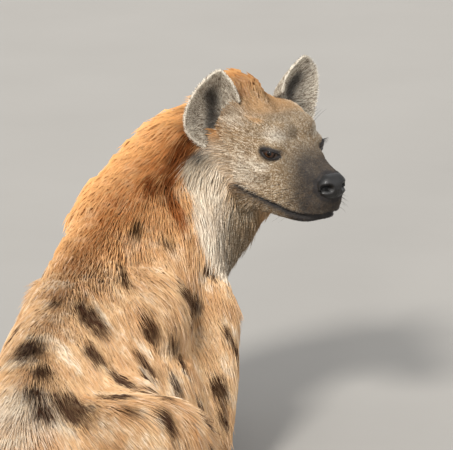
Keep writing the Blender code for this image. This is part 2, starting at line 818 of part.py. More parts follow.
def build_head():
    """The head with its lids, sockets, mouth and nose recess, and the eyes, ears and nose that sit in it."""
    forms = [head_loft(), tube("nape_form", NECK[1:]), tube("crest_form", MANE[2:])]
    for side in (1, -1):
        for number, ((f, r, u), half) in enumerate(CHEEKS):
            forms.append(in_head(f"cheek_{number}", (f, side * r, u), half))
    head = fused("head", forms, HEAD_VOXEL, 16, HEAD_TRIANGLES)
    for side in (1, -1):
        boolean(head, lid(side), "UNION", HEAD_SOLVER)
        boolean(head, eye_slit(side), "DIFFERENCE", HEAD_SOLVER)
        socket = ellipsoid("socket", eye_matrix(side), [EYE_RADIUS + GAP] * 3, segments=14, rings=8)
        boolean(head, socket, "DIFFERENCE", HEAD_SOLVER)
    boolean(head, mouth_blade(), "DIFFERENCE", HEAD_SOLVER)
    boolean(head, nose_pad("nose_recess", GAP), "DIFFERENCE", HEAD_SOLVER)
    nose = nose_pad("nose")
    for side in (1, -1):
        centre = (NOSTRIL.x, side * NOSTRIL.y, NOSTRIL.z)
        nostril = in_head("nostril", centre, NOSTRIL_HALF, segments=10, rings=6)
        boolean(nose, nostril, "DIFFERENCE", HEAD_SOLVER)
        boolean(head, swollen(ear("ear_recess", side), GAP), "DIFFERENCE", HEAD_SOLVER)
    trim = [finish(nose, "nose", "nose")]
    for word, side in (("right", 1), ("left", -1)):
        trim.append(finish(ear(f"ear_{word}", side), f"ear_{word}", "ear"))
        eyeball = ellipsoid("eyeball", eye_matrix(side), [EYE_RADIUS] * 3, segments=14, rings=8)
        trim.append(finish(eyeball, f"eye_{word}", "eye"))
    return head, trim


def beyond(name, point, normal, radius, depth, grow=0.0):
    """All that lies past a flat cut, within a radius of its middle."""
    start = point - normal.normalized() * grow
    return disc(name, start, normal, radius + grow, depth)


def head_cut():
    """Point and direction of the cut between neck and head."""
    forward, heading = HEAD_CUT
    return head_point(forward, 0, -0.01), Vector((math.sin(heading), math.cos(heading), 0.0))


def part_legs(body):
    """Takes the paws and the pieces of the legs off the body."""
    made = []
    for side, mirror in (("right", 1), ("left", -1)):
        for name, (heel, heading, length, half_width) in (("forepaw", FOREPAW), ("hind_paw", HIND_PAW)):
            x = heel[0] if mirror == 1 else 2 * LEG_MIDDLE - heel[0]
            place = ((x, heel[1], heel[2]), mirror * heading, length, half_width)
            piece = paw(name, *place)
            boolean(body, swollen(hull_of(piece, "paw_recess"), GAP), "DIFFERENCE")
            made.append(finish(boolean(piece, FLOOR, "DIFFERENCE"), f"{name}_{side}", "leg"))
    for name, rows, margin in LEG_PIECES:
        for side, path in both_sides(rows):
            cell = tube("cell", path, grow=margin, sides=10, steps=1)
            grown = tube("grown_cell", path, grow=margin + GAP, sides=10, steps=1)
            made.append(finish(part_off(body, name, cell, grown), f"{name}_{side}", "leg"))
    return made


def part_tail(body):
    """Sets the tail and its brush in recesses of the body."""
    few = {"sides": 12, "steps": 2}
    boolean(body, tube("tail_recess", TAIL, grow=GAP, **few), "DIFFERENCE")
    boolean(body, tube("brush_recess", TAIL_BRUSH, grow=GAP, **few), "DIFFERENCE")
    tail = boolean(tube("tail", TAIL, **few), tube("brush_recess", TAIL_BRUSH, grow=GAP, **few), "DIFFERENCE")
    boolean(tail, FLOOR, "DIFFERENCE")
    return tail, tube("tail_brush", TAIL_BRUSH, **few)


def build():
    """Melts the body, parts it, roots the long hair, and sets the head, paws and brush in place."""
    draw = random.Random(SEED)
    body = fused("body", body_forms(), BODY_VOXEL, 14, BODY_TRIANGLES)
    boolean(body, FLOOR, "DIFFERENCE")
    legs = part_legs(body)
    tail, brush = part_tail(body)

    skin = surface_of(body)
    head, trim = build_head()
    head_skin = surface_of(head)
    neck_to_head, back_to_neck = head_cut(), NECK_CUT
    mane = lock_seats(skin, MANE, MANE_LOCKS, draw, longer=1.15)
    croup = [(BODY_MIDDLE * 0.5, row[0], (row[2] + row[3]) / 2) for row in TRUNK[:4]]
    rump = lock_seats(skin, croup, RUMP_LOCKS, draw, fan=58.0)
    chest = lock_seats(skin, NECK[:4], CHEST_LOCKS, draw, fan=34.0, up=CHEST_SIDE)
    nape = lock_seats(head_skin, MANE[3:], (5, 4, *MANE_LOCKS[2:]), draw, fan=55.0)
    crown = lock_seats(head_skin, crown_line(), CROWN_LOCKS, draw, fan=48.0)

    boolean(head, beyond("cell", *neck_to_head, *HEAD_REACH), "INTERSECT", HEAD_SOLVER)
    boolean(body, beyond("grown_cell", *neck_to_head, *HEAD_REACH, grow=GAP), "DIFFERENCE")
    neck = part_off(body, "neck", beyond("cell", *back_to_neck, *NECK_REACH),
                    beyond("grown_cell", *back_to_neck, *NECK_REACH, grow=GAP))
    for side in (1, -1):
        boolean(neck, swollen(ear("ear_recess", side), GAP), "DIFFERENCE")

    with_locks(body, between(mane + rump + chest, before=back_to_neck), [neck, head, tail, *legs, *trim])
    with_locks(neck, between(mane + chest, back_to_neck, neck_to_head), [body, head, *legs, *trim])
    with_locks(head, between(nape + crown, after=neck_to_head), [neck, body, *trim])
    hair = lock_seats(surface_of(brush), TAIL_BRUSH[1:], BRUSH_LOCKS, draw, fan=110.0, backwards=False)
    with_locks(brush, hair, [body, tail])
    boolean(brush, FLOOR, "DIFFERENCE", "MANIFOLD")

    for piece, name, colour in ((head, "head", "head"), (neck, "neck", "coat"), (body, "torso", "coat"),
                                (tail, "tail", "coat"), (brush, "tail_brush", "brush")):
        finish(piece, name, colour)


def centre_on_floor():
    """Moves the whole animal so that the middle of its box stands over the origin."""
    points = np.array([vert.co for obj in ANIMAL.objects for vert in obj.data.vertices])
    middle = (points.min(axis=0) + points.max(axis=0)) / 2
    move = Matrix.Translation((-middle[0], -middle[1], 0.0))
    for obj in ANIMAL.objects:
        obj.data.transform(move)


build()
centre_on_floor()
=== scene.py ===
# %% [markdown]
# # A spotted hyena at life size
#
# A solid model of the animal, parted into head, neck, torso, legs and tail, is the frame of this scene. Here it gets
# one continuous skin, a coat of solid tufts, eyes, nose, lips, claws and whiskers. The solids stay as they are and
# tell where everything sits, so the first step only loads them and remembers their box.

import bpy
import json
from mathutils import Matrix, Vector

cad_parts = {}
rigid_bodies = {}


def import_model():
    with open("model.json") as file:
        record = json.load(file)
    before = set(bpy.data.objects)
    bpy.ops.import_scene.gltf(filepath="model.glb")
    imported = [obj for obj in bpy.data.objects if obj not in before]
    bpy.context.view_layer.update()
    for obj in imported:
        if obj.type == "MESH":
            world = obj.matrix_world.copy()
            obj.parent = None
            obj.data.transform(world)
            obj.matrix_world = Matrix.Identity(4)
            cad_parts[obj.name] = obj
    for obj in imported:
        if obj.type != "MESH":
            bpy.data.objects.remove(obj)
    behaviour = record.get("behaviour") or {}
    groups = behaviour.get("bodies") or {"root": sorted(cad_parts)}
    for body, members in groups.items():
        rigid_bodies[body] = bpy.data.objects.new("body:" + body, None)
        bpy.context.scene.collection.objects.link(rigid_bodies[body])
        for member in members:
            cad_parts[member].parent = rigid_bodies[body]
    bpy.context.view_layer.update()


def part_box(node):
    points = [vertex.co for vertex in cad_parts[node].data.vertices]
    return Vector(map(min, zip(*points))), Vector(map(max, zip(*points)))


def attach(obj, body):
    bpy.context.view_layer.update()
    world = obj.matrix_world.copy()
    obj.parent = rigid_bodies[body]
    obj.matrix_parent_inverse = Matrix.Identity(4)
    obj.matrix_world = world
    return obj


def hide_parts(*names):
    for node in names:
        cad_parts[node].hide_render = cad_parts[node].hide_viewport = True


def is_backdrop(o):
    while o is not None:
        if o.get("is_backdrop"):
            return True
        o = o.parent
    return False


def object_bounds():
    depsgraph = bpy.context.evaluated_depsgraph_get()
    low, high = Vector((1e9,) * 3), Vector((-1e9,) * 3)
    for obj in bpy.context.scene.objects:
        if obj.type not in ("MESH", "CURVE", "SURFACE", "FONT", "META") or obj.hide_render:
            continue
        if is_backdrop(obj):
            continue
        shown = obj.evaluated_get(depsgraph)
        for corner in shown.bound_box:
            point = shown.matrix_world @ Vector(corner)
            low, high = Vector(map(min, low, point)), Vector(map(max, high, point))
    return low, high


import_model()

# %% [markdown]
# ## Measures of the animal
#
# A lofted body is a list of sections. Each row below is one section, and a smooth curve is drawn through the rows,
# so a whole trunk needs ten of them. The trunk points along +Y and the animal's right side is at +X. All rows keep the
# body's own axes, and a single shift, read from the right eye of the frame, sets the finished pieces in place.

# %% Body sections
import json
import math
import random

import bmesh
import bpy
import numpy as np
from mathutils import Matrix, Vector, noise
from mathutils.bvhtree import BVHTree

BODY_MIDDLE = 0.052
LEG_MIDDLE = 0.046
LEFT_DROP = 0.90
LEFT_TUCK = 0.024

# Trunk from rump to chest: y, ridge x, top z, bottom z, half width, narrowing of the upper part.
TRUNK = [
    (-0.150, 0.014, 0.222, 0.075, 0.068, 0.10),
    (-0.090, 0.008, 0.272, 0.025, 0.108, 0.14),
    (0.000, 0.006, 0.308, -0.006, 0.130, 0.24),
    (0.100, 0.004, 0.329, -0.014, 0.135, 0.32),
    (0.220, 0.006, 0.345, -0.014, 0.136, 0.36),
    (0.340, 0.012, 0.358, -0.014, 0.136, 0.36),
    (0.450, 0.020, 0.372, -0.014, 0.136, 0.34),
    (0.550, 0.028, 0.380, -0.008, 0.135, 0.31),
    (0.630, 0.036, 0.365, 0.026, 0.126, 0.24),
    (0.700, 0.046, 0.330, 0.070, 0.098, 0.16),
]

# Neck and mane: x, y, z of the middle, half width, half height.
NECK = [
    (0.054, 0.540, 0.250, 0.120, 0.128),
    (0.080, 0.615, 0.292, 0.114, 0.124),
    (0.116, 0.684, 0.338, 0.106, 0.114),
    (0.158, 0.732, 0.382, 0.096, 0.104),
    (0.196, 0.752, 0.412, 0.088, 0.094),
]
MANE = [
    (0.008, 0.300, 0.308, 0.030, 0.035),
    (0.016, 0.420, 0.320, 0.047, 0.050),
    (0.033, 0.530, 0.337, 0.058, 0.058),
    (0.048, 0.615, 0.356, 0.068, 0.066),
    (0.084, 0.680, 0.391, 0.065, 0.067),
    (0.126, 0.720, 0.433, 0.056, 0.062),
    (0.172, 0.745, 0.470, 0.042, 0.048),
]
SHOULDER_BLADE = ((0.094, 0.480, 0.236), (0.076, 0.170, 0.104))
BREAST = ((0.066, 0.672, 0.225), (0.098, 0.085, 0.125))

# Legs of the right side, as the neck.
UPPER_FORELEG = [
    (0.143, 0.605, 0.224, 0.075, 0.086),
    (0.166, 0.530, 0.145, 0.062, 0.070),
    (0.180, 0.450, 0.066, 0.050, 0.054),
]
LOWER_FORELEG = [
    (0.180, 0.445, 0.052, 0.044, 0.050),
    (0.164, 0.560, 0.043, 0.037, 0.042),
    (0.136, 0.700, 0.033, 0.030, 0.034),
]
THIGH = [
    (0.126, 0.000, 0.184, 0.085, 0.093),
    (0.164, 0.100, 0.160, 0.077, 0.087),
    (0.190, 0.200, 0.120, 0.056, 0.066),
]
SHANK = [
    (0.192, 0.205, 0.105, 0.046, 0.052),
    (0.206, 0.080, 0.062, 0.038, 0.042),
    (0.206, -0.040, 0.042, 0.028, 0.034),
]
METATARSUS = [
    (0.206, -0.052, 0.034, 0.026, 0.032),
    (0.212, 0.040, 0.026, 0.025, 0.028),
]
LEGS = {"upper_foreleg": UPPER_FORELEG, "lower_foreleg": LOWER_FORELEG, "thigh": THIGH, "shank": SHANK,
        "hind_foot": METATARSUS}

# Paws: heel, heading clockwise from +Y, length, half width.
PAWS = {
    "forepaw": ((0.136, 0.690, 0.0), math.radians(-14.0), 0.125, 0.040),
    "hind_paw": ((0.212, 0.030, 0.0), math.radians(5.0), 0.105, 0.034),
}
TAIL = [
    (0.012, -0.120, 0.200, 0.036, 0.036),
    (0.014, -0.185, 0.135, 0.028, 0.028),
    (0.004, -0.225, 0.060, 0.026, 0.026),
    (-0.036, -0.250, 0.026, 0.026, 0.026),
    (-0.086, -0.262, 0.022, 0.028, 0.026),
]
TAIL_BRUSH = [
    (-0.086, -0.262, 0.022, 0.028, 0.026),
    (-0.130, -0.264, 0.022, 0.026, 0.022),
    (-0.170, -0.258, 0.020, 0.018, 0.016),
    (-0.200, -0.248, 0.016, 0.008, 0.008),
]
print("sections:", sum(len(rows) for rows in (TRUNK, NECK, MANE, TAIL, TAIL_BRUSH, *LEGS.values())))

# %% [markdown]
# ## Measures of the head
#
# The head is turned far to the animal's right, so its sections are given in the head's own axes: forward along the
# muzzle, right, and up, all from the point between the eyes. One function turns such a place into the body's axes.

# %% Head sections
BETWEEN_EYES = Vector((0.290, 0.680, 0.454))
HEAD_HEADING = math.radians(135.0)

# Head from nose to nape: forward, half width, top, bottom, narrowing of the upper part.
HEAD = [
    (0.098, 0.0190, -0.022, -0.077, 0.00),
    (0.086, 0.0290, -0.015, -0.088, 0.05),
    (0.068, 0.0330, -0.009, -0.098, 0.10),
    (0.045, 0.0370, 0.003, -0.103, 0.14),
    (0.022, 0.0420, 0.020, -0.105, 0.12),
    (-0.004, 0.0530, 0.037, -0.105, 0.06),
    (-0.035, 0.0680, 0.055, -0.103, 0.05),
    (-0.065, 0.0760, 0.066, -0.100, 0.06),
    (-0.095, 0.0780, 0.070, -0.098, 0.08),
    (-0.130, 0.0800, 0.066, -0.098, 0.06),
    (-0.165, 0.0820, 0.055, -0.100, 0.00),
]

# Swellings of each side: lip, cheekbone, jaw muscle, brow, temple, forehead. Centre, then half sizes.
SWELLINGS = [
    ((0.057, 0.015, -0.061), (0.033, 0.018, 0.023)),
    ((-0.048, 0.047, -0.026), (0.052, 0.019, 0.030)),
    ((-0.066, 0.048, -0.062), (0.050, 0.030, 0.036)),
    ((-0.012, 0.029, 0.013), (0.033, 0.016, 0.013)),
    ((-0.078, 0.026, 0.034), (0.062, 0.038, 0.025)),
    ((-0.032, 0.020, 0.030), (0.050, 0.032, 0.023)),
]
# Middle of the right eye in the solids, and in the finer face.
EYE_CENTRE = Vector((-0.0030, 0.0405, 0.0025))
EYE_PLACE = Vector((-0.0035, 0.0415, 0.0030))
EYE_RADIUS = 0.0138
EYE_TURN = math.radians(46.0)
NOSE_CENTRE = Vector((0.0900, 0.0, -0.0370))
NOSE_HALF = Vector((0.0165, 0.0245, 0.0185))

# Line of the mouth on the right side, from under the nose to its corner: forward and up.
MOUTH = [(0.108, -0.071), (0.104, -0.076), (0.086, -0.0815), (0.062, -0.0840), (0.036, -0.0825), (0.012, -0.0770),
         (-0.010, -0.0705), (-0.027, -0.0615), (-0.040, -0.0520)]

# Rim of each ear, right and left, from its front root over the tip to its lower root: forward, outwards, up.
EAR_RIMS = {
    1: [
        (-0.070, 0.048, 0.068),
        (-0.074, 0.056, 0.092),
        (-0.080, 0.067, 0.110),
        (-0.084, 0.0755, 0.118),
        (-0.090, 0.0925, 0.109),
        (-0.096, 0.1145, 0.087),
        (-0.100, 0.129, 0.057),
        (-0.102, 0.127, 0.031),
        (-0.098, 0.116, 0.012),
        (-0.090, 0.098, 0.000),
    ],
    -1: [
        (-0.070, 0.032, 0.071),
        (-0.074, 0.043, 0.093),
        (-0.080, 0.066, 0.110),
        (-0.084, 0.086, 0.118),
        (-0.090, 0.102, 0.110),
        (-0.096, 0.118, 0.091),
        (-0.100, 0.124, 0.064),
        (-0.102, 0.122, 0.036),
        (-0.098, 0.112, 0.012),
        (-0.090, 0.096, 0.000),
    ],
}
EAR_ROOT = (-0.084, 0.056, 0.030)
EAR_START = 0.22
EAR_CUP = 0.025


def head_point(forward, right, up):
    """A place in the head's own axes, in the body's."""
    ahead = Vector((math.sin(HEAD_HEADING), math.cos(HEAD_HEADING), 0.0))
    side = Vector((math.cos(HEAD_HEADING), -math.sin(HEAD_HEADING), 0.0))
    return BETWEEN_EYES + ahead * forward + side * right + Vector((0, 0, up))


def head_matrix():
    """Turns and moves a shape from the head's own axes to the body's."""
    origin = head_point(0, 0, 0)
    turn = Matrix([head_point(*axis) - origin for axis in ((1, 0, 0), (0, 1, 0), (0, 0, 1))]).transposed()
    return Matrix.Translation(origin) @ turn.to_4x4()


low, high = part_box("eye_right")
SHIFT = (low + high) / 2 - head_point(*EYE_CENTRE)
print("shift of the body's axes:", [round(value, 4) for value in SHIFT])

# %% [markdown]
# ## Shaping tools
#
# Flesh has no hard edges, so each form is a closed loft or a drawn-out sphere, and overlapping forms are melted with
# a voxel remesh and a few rounds of smoothing. The alternative, a single sculpted cage, gives finer control but no
# way to change one muscle by one number. Boolean unions then add what has to stay crisp, such as lids and ears.

# %% Lofts, spheres and melting
WORKSHOP = bpy.data.collections.new("workshop")
bpy.context.scene.collection.children.link(WORKSHOP)


def smooth_rows(rows, steps):
    """Points on the smooth curve through rows of numbers, steps to each stretch."""
    rows = np.array(rows, dtype=float)
    padded = np.vstack([2.0 * rows[0] - rows[1], rows, 2.0 * rows[-1] - rows[-2]])
    out = []
    for i in range(len(rows) - 1):
        a, b, c, d = padded[i : i + 4]
        for t in np.arange(steps) / steps:
            out.append(0.5 * (2 * b + (c - a) * t + (2 * a - 5 * b + 4 * c - d) * t**2
                              + (3 * b - a - 3 * c + d) * t**3))
    out.append(rows[-1])
    return np.array(out)


def new_piece(name, bm):
    """An object of a bmesh whose faces are made to point outwards."""
    bmesh.ops.recalc_face_normals(bm, faces=bm.faces)
    mesh = bpy.data.meshes.new(name)
    bm.to_mesh(mesh)
    bm.free()
    obj = bpy.data.objects.new(name, mesh)
    WORKSHOP.objects.link(obj)
    return obj


def discard(obj):
    """Removes an object with its mesh."""
    mesh = obj.data
    bpy.data.objects.remove(obj, do_unlink=True)
    bpy.data.meshes.remove(mesh)


def bake_modifiers(obj):
    """Applies an object's modifiers in place."""
    graph = bpy.context.evaluated_depsgraph_get()
    mesh = bpy.data.meshes.new_from_object(obj.evaluated_get(graph))
    obj.modifiers.clear()
    old = obj.data
    obj.data = mesh
    bpy.data.meshes.remove(old)
    return obj


def loft(name, rings, poles):
    """A closed skin over rings of points, drawn to a pole at each end."""
    bm = bmesh.new()
    loops = [[bm.verts.new(point) for point in ring] for ring in rings]
    ends = [bm.verts.new(point) for point in poles]
    count = len(loops[0])
    for first, second in zip(loops, loops[1:]):
        for i in range(count):
            j = (i + 1) % count
            bm.faces.new((first[i], first[j], second[j], second[i]))
    for ring, pole in ((loops[0], ends[0]), (loops[-1], ends[1])):
        for i in range(count):
            bm.faces.new((ring[i], ring[(i + 1) % count], pole))
    return new_piece(name, bm)


def tube(name, rows, thinner=0.0, sides=28, steps=6, dome=0.75):
    """A round-ended limb through rows of x, y, z, half width, half height, level across."""
    rows = smooth_rows(rows, steps)
    middles = [Vector(row[:3]) for row in rows]
    rings, poles = [], []
    for index, row in enumerate(rows):
        ahead = (middles[min(index + 1, len(rows) - 1)] - middles[max(index - 1, 0)]).normalized()
        across = ahead.cross(Vector((0, 0, 1))).normalized()
        over = across.cross(ahead)
        half_width, half_height = (max(size - thinner, 0.004) for size in row[3:5])
        bulge = dome * 0.5 * (half_width + half_height)
        places = [(0.0, 1.0)]
        if index == 0:
            places = [(-math.sin(a) * bulge, math.cos(a)) for a in (1.2, 0.8, 0.4)] + places
            poles.append(middles[index] - ahead * bulge)
        if index == len(rows) - 1:
            places += [(math.sin(a) * bulge, math.cos(a)) for a in (0.4, 0.8, 1.2)]
            poles.append(middles[index] + ahead * bulge)
        for along, scale in places:
            ring = []
            for k in range(sides):
                angle = math.tau * k / sides
                offset = across * (half_width * math.sin(angle)) + over * (half_height * math.cos(angle))
                ring.append(middles[index] + ahead * along + offset * scale)
            rings.append(ring)
    return loft(name, rings, poles)


def drawn_sphere(name, matrix, half_sizes, segments=32, rings=20):
    """A sphere drawn out to three half sizes and placed by a matrix."""
    bm = bmesh.new()
    bmesh.ops.create_uvsphere(bm, u_segments=segments, v_segments=rings, radius=1.0)
    bmesh.ops.transform(bm, matrix=matrix @ Matrix.Diagonal((*half_sizes, 1.0)), verts=bm.verts)
    return new_piece(name, bm)


def melted(name, pieces, voxel, smoothing):
    """Melts overlapping closed forms into one soft body."""
    bm = bmesh.new()
    for piece in pieces:
        bm.from_mesh(piece.data)
        discard(piece)
    obj = new_piece(name, bm)
    remesh = obj.modifiers.new("melt", "REMESH")
    remesh.mode = "VOXEL"
    remesh.voxel_size = voxel
    soften = obj.modifiers.new("soften", "SMOOTH")
    soften.factor = 0.5
    soften.iterations = smoothing
    return bake_modifiers(obj)


def boolean(obj, other, operation):
    """Cuts or joins two closed shapes, and removes the second."""
    step = obj.modifiers.new("step", "BOOLEAN")
    step.object = other
    step.operation = operation
    step.solver = "MANIFOLD"
    bake_modifiers(obj)
    discard(other)
    return obj


def left_place(x, y, z):
    """The left side's match of a place on the right: lowered as the body rolls, the shoulder tucked in."""
    tuck = LEFT_TUCK if z > 0.2 else 0.0
    return 2 * LEG_MIDDLE - x + tuck, y, z * (LEFT_DROP if z > 0.1 else 1.0)


def both_sides(rows):
    """A leg's rows for the right side and the left."""
    return {"right": rows, "left": [(*left_place(*row[:3]), *row[3:]) for row in rows]}


def points_of(mesh):
    """All points of a mesh as an array."""
    flat = np.empty(len(mesh.vertices) * 3, dtype=np.float32)
    mesh.vertices.foreach_get("co", flat)
    return flat.reshape(-1, 3).astype(float)


print("tools ready")

# %% [markdown]
# ## The skin under the coat
#
# The solids show how far the coat reaches, so the bare skin has to lie deeper by as much as the hair stands up.
# Every form below is the frame's own, made thinner by its coat: much on the back, hardly anything on the muzzle.
# A shrink of the finished frame would be simpler, but it would also shrink the nose and the paws.

# %% Body forms
COAT_DEPTH = {"trunk": 0.014, "neck": 0.012, "mane": 0.010, "leg": 0.006, "tail": 0.008, "brush": 0.013}


def trunk_form():
    """Barrel of the body, whose upper part narrows and leans to the ridge of the back."""
    sink = COAT_DEPTH["trunk"]
    rings = []
    for y, ridge, top, bottom, half_width, narrow in smooth_rows(TRUNK, 5):
        top, bottom, half_width = top - sink, bottom + 0.004, half_width - sink
        middle, half_height = (top + bottom) / 2, (top - bottom) / 2
        ring = []
        for k in range(48):
            angle = math.tau * k / 48
            width = half_width * math.sin(angle) * (1.0 - narrow * math.cos(angle))
            lean = (ridge - BODY_MIDDLE) * math.cos(angle)
            ring.append(Vector((BODY_MIDDLE + lean + width, y, middle + half_height * math.cos(angle))))
        rings.append(ring)
    rump = Vector((BODY_MIDDLE * 0.6, TRUNK[0][0] - 0.028 + sink, 0.148))
    breast = Vector((BODY_MIDDLE, TRUNK[-1][0] + 0.035 - sink, 0.200))
    for pole, source, where in ((rump, rings[0], 0), (breast, rings[-1], len(rings) + 1)):
        middle = sum(source, Vector()) / len(source)
        rings.insert(where, [pole.lerp(point, 0.72) + (middle - pole) * -0.14 for point in source])
    return loft("trunk", rings, (rump, breast))


def body_forms():
    """All lofts of the body, legs and mane among them."""
    forms = [trunk_form(), tube("neck", NECK, COAT_DEPTH["neck"]), tube("mane", MANE, COAT_DEPTH["mane"]),
             tube("tail", TAIL, COAT_DEPTH["tail"]), tube("brush", TAIL_BRUSH, COAT_DEPTH["brush"])]
    for (centre, half), sides in ((SHOULDER_BLADE, 2), (BREAST, 1)):
        half = [size - COAT_DEPTH["neck"] for size in half]
        for place in (centre, left_place(*centre))[:sides]:
            forms.append(drawn_sphere("shoulder", Matrix.Translation(place), half))
    for name, rows in LEGS.items():
        for side, path in both_sides(rows).items():
            forms.append(tube(f"{name}_{side}", path, COAT_DEPTH["leg"]))
    forms.append(drawn_sphere("loin", Matrix.Translation((0.108, 0.130, 0.190)), (0.060, 0.150, 0.060)))
    return forms


def soften_near(obj, places, iterations):
    """Smooths a form near some places: each a centre and the half sizes of its reach."""
    group = obj.vertex_groups.new(name="soften")
    verts = points_of(obj.data)
    reach = np.max([np.exp(-np.sum(((verts - np.array(centre)) / np.array(half)) ** 2, axis=1)) for centre, half in places],
                   axis=0)
    for index, weight in enumerate(reach):
        group.add([index], float(weight), "REPLACE")
    step = obj.modifiers.new("soften", "SMOOTH")
    step.vertex_group, step.factor, step.iterations = "soften", 0.6, iterations
    return bake_modifiers(obj)


body = melted("body", body_forms(), 0.0084, 12)
# Under a thick coat the edges of the haunches and of the point of the shoulder don't show.
soften_near(body, [((BODY_MIDDLE + out, 0.060, 0.255), (0.060, 0.110, 0.055)) for out in (0.074, -0.074)]
            + [((0.205, 0.640, 0.280), (0.060, 0.060, 0.055))], 80)
print("body:", len(body.data.vertices), "points")

# %% [markdown]
# ## Head, lids and ears
#
# A hyena's skull is broad at the cheekbones and its muzzle short and deep. One loft gives the long line, drawn-out
# spheres give each muscle and bone that shows, and a fine melt keeps the step from muzzle to cheek. The lids are
# swellings over the eyeball with an almond cut through, because a real lid is skin that slides over a ball.

# %% Head forms
# The almond between the lids: to its inner and outer corner, up, down, and how far its inner corner drops.
ALMOND = {"inner": 0.0140, "outer": 0.0126, "up": 0.0048, "down": 0.0086, "drop": 0.20}


def head_sink(forward):
    """Depth of the head's coat: short on the muzzle, deeper behind the eyes."""
    return 0.0012 + 0.0042 * min(max((0.03 - forward) / 0.09, 0.0), 1.0)


def head_form():
    """Skull and muzzle as one loft from nose to nape."""
    rings = []
    for forward, half_width, top, bottom, narrow in smooth_rows(HEAD, 8):
        sink = head_sink(forward)
        top, bottom, half_width = top - sink, bottom + sink, half_width - sink
        middle, half_height = (top + bottom) / 2, (top - bottom) / 2
        ring = []
        for k in range(72):
            angle = math.tau * k / 72
            square = 1.0 - 0.10 * math.cos(4 * angle)
            width = half_width * math.sin(angle) * (1.0 - narrow * math.cos(angle)) * square
            height = middle + half_height * math.cos(angle) * square
            # The nose overhangs the lips and the chin.
            back = 0.42 * max(0.0, -0.046 - height) * min(max((forward - 0.055) / 0.043, 0.0), 1.0)
            ring.append(head_point(forward - back, width, height))
        rings.append(ring)
    return loft("head", rings, (head_point(0.104, 0, -0.045), head_point(-0.180, 0, -0.02)))


def eye_matrix(side):
    """Places the eye of one side: +Y looks out of the head, +Z is up."""
    look = Matrix.Rotation(side * EYE_TURN, 4, "Z") @ Matrix.Rotation(-math.pi / 2, 4, "Z")
    return head_matrix() @ Matrix.Translation((EYE_PLACE.x, EYE_PLACE.y * side, EYE_PLACE.z)) @ look


def almond(angle, side, spare=0.0):
    """A place on the edge of the almond, as numbers across and up in the eye's own axes."""
    c, s = math.cos(angle), math.sin(angle)
    inner = c * side > 0
    across = (ALMOND["inner" if inner else "outer"] + spare) * c
    high, sharp = (ALMOND["up"], 2.6) if s > 0 else (ALMOND["down"], 2.1)
    up = (high + spare) * math.copysign(1.0 - abs(c) ** sharp, s)
    return across, up - ALMOND["drop"] * across * side


def ear_form(side):
    """A cupped ear: a sheet drawn from its sunken root to its rim, made solid."""
    root, back = np.array(EAR_ROOT), np.array((-0.88, -0.45, 0.0))
    bm = bmesh.new()
    rows = []
    for place in smooth_rows(EAR_RIMS[side], 7):
        row = []
        for t in np.linspace(EAR_START, 0.985, 15):
            bow = EAR_CUP * math.sin(math.pi * min(1.0, 0.10 + 0.90 * t)) * (1.0 - 0.3 * t)
            forward, right, up = root + (place - root) * t + back * bow
            row.append(bm.verts.new(head_point(forward, side * right, up)))
        rows.append(row)
    for first, second in zip(rows, rows[1:]):
        for a, b, c, d in zip(first, first[1:], second[1:], second):
            bm.faces.new((a, b, c, d))
    obj = new_piece("ear", bm)
    shell = obj.modifiers.new("shell", "SOLIDIFY")
    shell.thickness = 0.0030
    shell.offset = 0.0
    shell.use_even_offset = False
    return bake_modifiers(obj)


head_pieces = [head_form(), tube("nape", NECK[2:], COAT_DEPTH["neck"]), tube("crest", MANE[4:], COAT_DEPTH["mane"])]
for side in (1, -1):
    for (f, r, u), half in SWELLINGS:
        sink = 0.4 * head_sink(f)
        head_pieces.append(drawn_sphere("swelling", head_matrix() @ Matrix.Translation((f, side * r, u)),
                                        [size - sink for size in half]))
    outer = EYE_RADIUS + 0.0022
    head_pieces.append(drawn_sphere("lid", eye_matrix(side), (outer * 1.10, outer * 0.99, outer * 0.98)))
head = melted("head", head_pieces, 0.0023, 24)
soften_near(head, [(head_point(0.000, side * 0.036, 0.032), (0.026, 0.026, 0.020)) for side in (1, -1)], 120)
print("head:", len(head.data.vertices), "points")

# %% [markdown]
# ## Paws
#
# A hyena has four toes with blunt claws that never draw in. Drawn-out spheres for the palm and the toes, melted
# finely, keep the grooves between the toes. The claws come later as pieces of their own, since horn has its own
# finish.

# %% Paw forms
TOES = (-0.68, -0.24, 0.24, 0.68)


def paw_matrix(name, side):
    """Places a paw with its heel at the origin and its toes along +Y."""
    heel, heading, length, half_width = PAWS[name]
    x = heel[0] if side == 1 else 2 * LEG_MIDDLE - heel[0]
    return Matrix.Translation((x, heel[1], heel[2])) @ Matrix.Rotation(-side * heading, 4, "Z")


def paw_form(name, side):
    """Palm and four toes, with a knuckle behind each toe."""
    length, half_width = PAWS[name][2:]
    place = paw_matrix(name, side)
    pieces = [drawn_sphere("palm", place @ Matrix.Translation((0, length * 0.36, 0.017)),
                           (half_width * 0.78, length * 0.42, 0.0225))]
    for across in TOES:
        reach = length * (0.80 if abs(across) > 0.5 else 0.90)
        for back, up, size in ((0.018, 0.0135, (0.26, 0.0245, 0.0158)), (0.044, 0.0200, (0.20, 0.0220, 0.0120))):
            at = place @ Matrix.Translation((across * half_width * 0.98, reach - back, up))
            pieces.append(drawn_sphere("toe", at, (half_width * size[0], size[1], size[2]), 24, 14))
    return melted(f"{name}_{side}", pieces, 0.0026, 3)


def floor_cut():
    """Everything under the floor."""
    bm = bmesh.new()
    bmesh.ops.create_cube(bm, size=1.0)
    place = Matrix.Translation((0.0, 0.3, -0.2497)) @ Matrix.Diagonal((3.0, 3.0, 0.5, 1.0))
    bmesh.ops.transform(bm, matrix=place, verts=bm.verts)
    return new_piece("floor_cut", bm)


def tree_of(mesh):
    """A tree for finding the nearest place on a mesh."""
    return BVHTree.FromPolygons([vert.co for vert in mesh.vertices], [face.vertices[:] for face in mesh.polygons])


